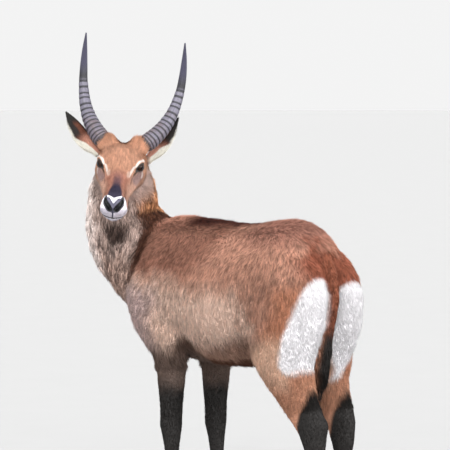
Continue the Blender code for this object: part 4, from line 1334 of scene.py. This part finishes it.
def horn_piece(side, finish):
    rows = np.array([(f, side * o, u, r) for f, o, u, r in HORN])
    steps = np.concatenate([[0], np.cumsum(np.linalg.norm(np.diff(rows[:, :3], axis=0), axis=1))])
    s = np.linspace(0, 1, HORN_STEPS)
    line = hermite(np.column_stack([steps / steps[-1], rows]), s)[:, 1:]
    way = unit(np.gradient(line[:, :3], axis=0))
    chance = np.random.default_rng(HORN_SEED)
    jitter = np.concatenate([[0], chance.normal(0, 0.09, HORN_RINGS), [0]])
    strong = chance.uniform(0.8, 1.15, HORN_RINGS + 2)
    place = (s - FIRST_RING) / (LAST_RING - FIRST_RING)
    place = HORN_RINGS * np.sign(place) * np.abs(place) ** 0.82
    index = np.clip(np.round(place), 0, HORN_RINGS).astype(int)
    phase = place + np.interp(place, np.arange(HORN_RINGS + 2) - 0.5, jitter)
    wave = (0.5 + 0.5 * np.cos(2 * math.pi * phase - 0.5 * np.sin(2 * math.pi * phase))) ** 0.85
    zone = smooth(place, -0.7, 0.1) * smooth(place, HORN_RINGS + 0.4, HORN_RINGS - 1.0)
    height = RING_HEIGHT * (1 - 0.5 * np.clip(place / HORN_RINGS, 0, 1)) * strong[index] * zone
    turn = np.arange(HORN_SIDES) * 2 * math.pi / HORN_SIDES
    rings, ridges_and_side_shade, strands = [], [], []
    for k in range(HORN_STEPS):
        out = unit(np.cross(way[k], (0.0, side, 0.0)))
        other = np.cross(way[k], out)
        around = np.cos(turn)[:, None] * other + np.sin(turn)[:, None] * out
        front = 0.5 + 0.5 * (around @ unit((0.75, 0.0, 0.66)))
        weight = 0.45 + 0.55 * smooth(front, 0.1, 0.7)
        swell = height[k] * (wave[k] - 0.22) * weight
        swell += 0.012 * zone[k] * np.sin(turn * 9 + 6 * math.sin(3 * s[k]))
        radius = line[k, 3] * (1 + swell)
        rings.append(line[k, :3] + radius[:, None] * around)
        # the ridge value sets how pale the horn is; weight lowers it on the sides facing back and down:
        # painted shade
        ridges_and_side_shade.append(zone[k] * (0.25 + 0.75 * wave[k]) * (0.35 + 0.65 * weight) + 0.35 * (1 - zone[k]))
        strands.append(np.stack([5 * np.cos(turn), 5 * np.sin(turn), np.full(HORN_SIDES, 7 * s[k])], axis=1))
    points = np.concatenate(rings + [[line[0, :3]], [line[-1, :3] + way[-1] * 0.002]])
    mesh = facing_out(mesh_from("horn", from_head(points), capped_faces(HORN_STEPS, HORN_SIDES)))
    paint(mesh, "ridge_and_side_shade", np.concatenate(ridges_and_side_shade + [[0.3], [0.3]]))
    paint(mesh, "along", np.concatenate([np.repeat(s, HORN_SIDES), [0.0, 1.0]]))
    paint_vector(mesh, "strand", np.concatenate(strands + [[(0, 0, 0)], [(0, 0, 7)]]))
    mesh.materials.append(finish)
    name = "left" if side > 0 else "right"
    piece = object_of(f"ringed_horn_{name}", mesh)
    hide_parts(f"horn_{name}")
    return piece


# ---------------------------------------------------------------- claws
CLAW_VOXEL, DEWCLAW_VOXEL, CLAW_FAIRING = 0.0021, 0.0016, 7


def claw_pieces(finish):
    """Each claw and dewclaw rounded and worn, from the solid that it stands for."""
    made = []
    for node in [name for name in NODES if name.startswith(("claw_", "dewclaw_"))]:
        rough = object_of("rough claw", mesh_of(welded(node), node))
        remesh = rough.modifiers.new("even faces", "REMESH")
        remesh.mode, remesh.voxel_size = "VOXEL", CLAW_VOXEL if node.startswith("claw") else DEWCLAW_VOXEL
        mesh = taken(rough, node)
        points = Web(mesh).faired(vectors_of(mesh.vertices, "co"), CLAW_FAIRING)
        rings = 0.00035 * np.sin(points[:, 2] * 900 + 6 * noise(points, 0.03, 5))
        points += normals_of(mesh) * (rings * smooth(points[:, 2], 0.004, 0.012))[:, None]
        dress(mesh, finish)
        move(mesh, points)
        piece = object_of(f"worn_{node}", mesh)
        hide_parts(node)
        made.append(piece)
    return made


# ---------------------------------------------------------------- the coat
SHARE_SPREAD, LIE_SPREAD = 8, 14     # rounds of spreading the regions' shares and the lie of the hair


class Ground:
    """The skin as a field to grow hair on: its places, and what the hair is like at each of them."""

    def __init__(self, skin):
        mesh = skin.data
        self.triangles = triangles_of(mesh)
        self.points = vectors_of(mesh.vertices, "co")
        self.normals = normals_of(mesh)
        web = Web(mesh)
        self.shares = region_shares(self.points, web, SHARE_SPREAD)
        ears = self.shares["ear"]
        self.names = list(self.shares)
        lie = lie_of_hair(self.points, self.normals, self.shares)
        lie = np.where((ears > 0.6)[:, None], lie, web.spread(lie, LIE_SPREAD))
        self.lie = unit(lie + 1e-9)
        self.length = hair_length(self.points, self.shares)
        self.bare = bare(self.points, self.shares)
        self.leading = np.argmax(np.stack([self.shares[n] for n in self.names], axis=1), axis=1)
        a, b, c = (self.points[self.triangles[:, k]] for k in range(3))
        self.area = np.linalg.norm(np.cross(b - a, c - a), axis=1) / 2

    def of_region(self, *regions):
        """Which triangles belong mostly to the regions."""
        chosen = np.isin(self.leading, [self.names.index(name) for name in regions])
        return chosen[self.triangles].sum(axis=1) >= 2

    def sown(self, chosen, count, chance):
        """Roots spread evenly over the chosen triangles, with everything read at each of them."""
        weight = self.area * chosen * (1 - self.bare[self.triangles].mean(axis=1))
        total = np.cumsum(weight)
        spots = (np.arange(count) + chance.random(count)) / count * total[-1]
        face = self.triangles[np.searchsorted(total, spots)]
        u, v = chance.random(count), chance.random(count)
        flip = u + v > 1
        u[flip], v[flip] = 1 - u[flip], 1 - v[flip]
        share = np.stack([1 - u - v, u, v], axis=1)

        def read(values):
            return np.einsum("nk,nk...->n...", share, values[face])

        roots = {"points": read(self.points), "normals": unit(read(self.normals)),
                 "length": read(self.length), "bare": read(self.bare),
                 "shares": {name: read(values) for name, values in self.shares.items()}}
        lie = read(self.lie)
        lie -= roots["normals"] * np.sum(lie * roots["normals"], axis=1)[:, None]
        roots["lie"] = unit(lie + 1e-9)
        keep = chance.random(count) > roots["bare"]
        return {key: ({n: v[keep] for n, v in value.items()} if isinstance(value, dict) else value[keep])
                for key, value in roots.items()}


def tufts(roots, width, chance, curved=False, lift=18.0, lift_range=5.0, swirl=11.0):
    """Points of tapered tufts, three-sided at the root and closing to a tip."""
    at, n, lie, length = (roots[key] for key in ("points", "normals", "lie", "length"))
    count = len(at)
    clump = noise(at, (0.016, 0.016, 0.030), 21)
    sway = noise(at, (0.022, 0.022, 0.040), 22)
    length = length * chance.uniform(0.70, 1.18, count) * (1 + 0.16 * clump)
    rise = np.radians(np.clip(lift + lift_range * (1.3 * clump + chance.normal(0, 0.6, count)), 5.0, 40.0))
    yaw = np.radians(swirl * (0.9 * sway + chance.normal(0, 0.7, count)))
    across = np.cross(n, lie)
    lie = lie * np.cos(yaw)[:, None] + across * np.sin(yaw)[:, None]
    way = lie * np.cos(rise)[:, None] + n * np.sin(rise)[:, None]
    across = unit(np.cross(n, way))
    over_ = np.cross(way, across)
    wide = (width * chance.uniform(0.75, 1.25, count))[:, None]
    base = at - n * (0.25 * wide) - way * 0.0006
    ring = [base - across * wide / 2, base + across * wide / 2, base + over_ * wide * 0.5]
    if not curved:
        tip = at + way * length[:, None]
        points = np.stack([*ring, tip], axis=1)
        faces = np.array([(0, 2, 3), (2, 1, 3), (1, 0, 3), (0, 1, 2)])
        along = np.array([0.0, 0.0, 0.05, 1.0])
        sides = np.array([-0.5, 0.5, 0.0, 0.0])
    else:
        bend = unit(lie + n * 0.02 + np.array((0.0, 0.0, -0.35)) + across * (0.25 * sway)[:, None])
        middle = at + way * (0.50 * length)[:, None]
        tip = middle + bend * (0.52 * length)[:, None]
        thick = wide * 0.46
        half = [middle - across * thick, middle + across * thick, middle + over_ * thick]
        points = np.stack([*ring, *half, tip], axis=1)
        faces = np.array([(0, 2, 3), (3, 2, 5), (2, 1, 5), (5, 1, 4), (1, 0, 4), (4, 0, 3),
                          (3, 5, 6), (5, 4, 6), (4, 3, 6), (0, 1, 2)])
        along = np.array([0.0, 0.0, 0.03, 0.5, 0.5, 0.52, 1.0])
        sides = np.array([-0.5, 0.5, 0.0, -0.5, 0.5, 0.0, 0.0])
    size = points.shape[1]
    all_faces = (faces[None] + (np.arange(count) * size)[:, None, None]).reshape(-1, 3)
    return points.reshape(-1, 3), all_faces, np.tile(along, count), np.tile(sides, count), size


def grizzle(roots, colours, chance):
    """How bright each tuft is beside its neighbours, in streaks along the hair, and at its root."""
    at, shares = roots["points"], roots["shares"]
    mane = mane_share(to_body(at)) * shares["trunk"]
    contrast = by_region(TUFT_CONTRAST, shares) + 0.26 * mane
    root = by_region(ROOT_TONE, shares) - 0.18 * mane
    long_ = np.clip(shares["neck"] + mane, 0, 1)
    streaks = noise(at, (0.007, 0.007, 0.035), 23) * long_
    streaks += noise(at, (0.006, 0.006, 0.020), 24) * (1 - long_)
    pale = smooth(colours.mean(axis=1), 0.50, 0.72)
    bright = np.clip(1.3 * streaks + chance.normal(0, 0.46, len(at)), -1, 1)
    return 1 + contrast * (1 - 0.86 * pale) * bright, root + (0.99 - root) * pale


PATCH = 0.003                # how wide a tuft's patch is on the unwrap
FIRST_SEED = 31              # one seed for each coat piece, one after another


def unwrap_round(points, centre, axis, start, end):
    """Places on a cylinder laid round part of the body, 0 to 1 each way."""
    axis = unit(axis)
    first = unit(np.cross(axis, (0.31, 0.87, 0.39)))
    second = np.cross(axis, first)
    away = points - np.asarray(centre)
    turn = np.arctan2(away @ second, away @ first) / (2 * math.pi) + 0.5
    return np.stack([turn, np.clip((away @ axis - start) / (end - start), 0, 1)], axis=1)


def coat_piece(name, ground, chosen, count, width, unwrap, finish, seed, slot="coat", **habit):
    """One coat piece: tufts over the chosen triangles, with their colours and places on the unwrap."""
    chance = np.random.default_rng(seed)
    roots = ground.sown(chosen, count, chance)
    count = len(roots["points"])
    points, faces, along, sides, size = tufts(roots, width, chance, **habit)
    colours = markings(roots["points"], roots["normals"], roots["shares"])
    tone, root = grizzle(roots, colours, chance)
    mesh = mesh_from(name, points, faces)
    paint(mesh, "coat_colour", np.repeat(colours, size, axis=0))
    paint(mesh, "along", along)
    paint(mesh, "tone", np.repeat(tone, size))
    paint(mesh, "root", np.repeat(root, size))
    place = np.repeat(0.01 + 0.98 * unwrap(roots["points"]), size, axis=0)
    place = np.clip(place + np.stack([sides, along - 0.5], axis=1) * PATCH, 0.0, 1.0)
    layer = mesh.uv_layers.new(name="OFBake")
    layer.uv.foreach_set("vector", place[faces.ravel()].astype(np.float32).ravel())
    mesh.materials.append(finish)
    piece = object_of(name, mesh)
    return piece


def column(index, count, unwrapped):
    """Squeezes an unwrap into one of several columns side by side."""
    return np.stack([(index + 0.04 + 0.92 * unwrapped[:, 0]) / count, unwrapped[:, 1]], axis=1)


def unwrap_trunk(points):
    return unwrap_round(to_body(points), (0, 0, 0.98), (0, 1, 0), -0.65, 0.52)


def unwrap_neck(points):
    return unwrap_round(to_body(points), (0.03, -0.60, 1.0), (0.06, -0.10, 1.0), -0.20, 0.62)


def unwrap_head(points):
    return unwrap_round(to_head(points), (0, 0, -0.03), (1, 0, 0), -0.20, 0.345)


# The middles of the legs, left and right: fore, then hind.
LEGS = [(0.13, -0.31), (-0.13, -0.26), (0.12, 0.43), (-0.12, 0.37)]


def unwrap_legs(points):
    b = to_body(points)
    made = np.zeros((len(b), 2))
    for index, (x, y) in enumerate(LEGS):
        mine = ((b[:, 0] > 0) == (x > 0)) & ((b[:, 1] > 0.06) == (y > 0))
        part = unwrap_round(b, (x, y, 0), (0, 0, 1), 0.03, 1.0)
        made = np.where(mine[:, None], column(index, len(LEGS), part), made)
    return made


def unwrap_tail(points):
    return unwrap_round(to_body(points), (0.03, 0.45, 0), (0, 0, 1), 0.50, 1.20)


def unwrap_ears(points):
    h = to_head(points)
    made = np.zeros((len(h), 2))
    for index, side in enumerate((1, -1)):
        root, way, opens, across = ear_axes(side)
        away = h - (root + opens * 0.02)
        inner = (away @ opens > 0) * 0.5
        turn = 0.5 * np.clip(away @ across / EAR_WIDTH + 0.5, 0, 1) + inner
        part = np.stack([turn, np.clip(away @ way / EAR_LENGTH, 0, 1)], axis=1)
        made = np.where((h[:, 1] * side > 0)[:, None], column(index, 2, part), made)
    return made


def coat_pieces(ground, finish):
    middle = ground.points[ground.triangles].mean(axis=1)
    b, f = to_body(middle), to_head(middle)[:, 0]
    _, y, z = b.T
    names = ("head", "neck", "trunk", "thigh", "ear", "tail")
    head, neck, trunk, thigh, ear, tail = (ground.of_region(name) for name in names)
    legs = ground.of_region("foreleg", "forefoot", "hindfoot")
    mane = trunk & (mane_share(b) > 0.5)
    trunk = trunk & ~mane
    shaggy = {"curved": True, "lift_range": 7.0, "swirl": 13.0}
    beds = [
        ("coat_face", head & (f > 0.11), 43000, 0.0011, unwrap_head, {"lift": 20.0, "swirl": 7.0}),
        ("coat_crown", head & (f <= 0.11), 46000, 0.0014, unwrap_head, {"lift": 20.0, "swirl": 8.0}),
        ("coat_neck_upper", neck & (z > 1.24), 16500, 0.0034, unwrap_neck, {**shaggy, "lift": 24.0}),
        ("coat_neck_lower", mane | neck & (z <= 1.24), 19500, 0.0036, unwrap_neck, {**shaggy, "lift": 22.0}),
        ("coat_shoulders", trunk & (y < -0.16), 38000, 0.0030, unwrap_trunk, {}),
        ("coat_flanks", trunk & (y >= -0.16) & (y < 0.16), 37500, 0.0030, unwrap_trunk, {}),
        ("coat_croup", trunk & (y >= 0.16), 34000, 0.0028, unwrap_trunk, {}),
        ("coat_thighs", thigh, 34000, 0.0028, unwrap_legs, {}),
        ("coat_legs", legs, 27400, 0.0021, unwrap_legs,
         {"slot": "dark_coat", "lift": 15.0, "lift_range": 3.0, "swirl": 6.0}),
        ("coat_ears", ear, 12000, 0.0014, unwrap_ears, {"lift": 12.0, "lift_range": 4.0}),
        ("coat_tail", tail, 5200, 0.0030, unwrap_tail,
         {"curved": True, "lift": 9.0, "lift_range": 4.0, "swirl": 6.0}),
    ]
    return [coat_piece(name, ground, chosen, count, width, unwrap, finish, FIRST_SEED + k, **habit)
            for k, (name, chosen, count, width, unwrap, habit) in enumerate(beds)]


# ---------------------------------------------------------------- lashes
LASHES, LASH_LENGTH, LASH_SEED = 46, 0.0125, 51


def lash_piece(finish):
    """Stiff black lashes along the upper lids, drooping outward."""
    chance = np.random.default_rng(LASH_SEED)
    points, faces = [], []
    for side in (1, -1):
        for spot in np.linspace(-0.88, 0.80, LASHES):
            along, height = CORNER * spot, LID_HIGH * (1 - spot**2) ** 0.625 + math.radians(5)
            ray = math.cos(height) * (math.cos(along) * GAZE + math.sin(along) * SLIT)
            ray += math.sin(height) * SLIT_UP
            at = EYE + ray * (EYE_RADIUS + 0.0016)
            way = unit(ray * 0.9 - SLIT_UP * 0.45 + SLIT * (0.5 * spot + chance.normal(0, 0.10)))
            long_ = (LASH_LENGTH - 0.004 * spot**2) * chance.uniform(0.8, 1.1)
            across = unit(np.cross(way, SLIT_UP)) * 0.00035
            tall = np.cross(way, unit(across)) * 0.00045
            middle, tip = at + way * long_ * 0.55, at + unit(way + SLIT_UP * 0.30) * long_
            first = len(points)
            points += [at - across, at + across, at + tall, middle - across * 0.8, middle + across * 0.8,
                       middle + tall * 0.8, tip]
            points[first:] = [p * (1.0, side, 1.0) for p in points[first:]]
            quads = [(0, 1, 4), (0, 4, 3), (1, 2, 5), (1, 5, 4), (2, 0, 3), (2, 3, 5), (3, 4, 6), (4, 5, 6),
                     (5, 3, 6), (0, 2, 1)]
            faces += [tuple(first + i for i in q) for q in quads]
    mesh = mesh_from("lashes", from_head(points), np.array(faces))
    mesh.materials.append(finish)
    piece = object_of("lashes", mesh)
    return piece


# ---------------------------------------------------------------- floor and light
# name, strength, how wide it is in degrees, and the way to it: toward the eye, to the right, up
LIGHTS = [("soft key", 2.2, 30, (0.60, -0.50, 0.75)), ("soft fill", 3.5, 60, (0.97, 0.05, 0.06)),
          ("soft side", 3.3, 50, (0.50, 0.82, 0.28)), ("glint", 0.6, 3, (0.90, -0.18, 0.42))]
FLOOR_RADIUS = 400.0


def studio():
    edit = bmesh.new()
    bmesh.ops.create_circle(edit, cap_ends=True, cap_tris=True, segments=96, radius=FLOOR_RADIUS)
    floor_mesh = mesh_of(edit, "studio_floor")
    floor_mesh.materials.append(floor_finish())
    floor = object_of("studio_floor", floor_mesh)
    world = bpy.data.worlds.new("studio")
    bpy.context.scene.world = world
    world.use_nodes = True
    world.node_tree.nodes["Background"].inputs["Color"].default_value = grey(0.90)
    for name, energy, spread, toward in LIGHTS:
        sun = bpy.data.lights.new(name, "SUN")
        sun.energy, sun.angle = energy, math.radians(spread)
        lamp = bpy.data.objects.new(name, sun)
        bpy.context.scene.collection.objects.link(lamp)
        toward = Vector(toward[0] * BACK + toward[1] * RIGHT + toward[2] * RISE)
        lamp.rotation_euler = toward.to_track_quat("Z", "Y").to_euler()
    bpy.context.scene.view_settings.view_transform = "Standard"


# ---------------------------------------------------------------- putting it together
skin = one_skin()
ground = Ground(skin)
paint(skin.data, "coat_colour", markings(ground.points, ground.normals, ground.shares))
paint(skin.data, "bare", ground.bare)
dress(skin.data, skin_finish())
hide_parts(*[node for nodes in REGIONS.values() for node in nodes])

eye_look, horn_look = eye_finish(), horn_finish()
pieces = [skin, *coat_pieces(ground, coat_finish()), lash_piece(lash_finish()), *claw_pieces(hoof_finish())]
for side in (1, -1):
    pieces += [eye_piece(side, eye_look), horn_piece(side, horn_look)]
for piece in pieces:
    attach(piece, "root")
studio()
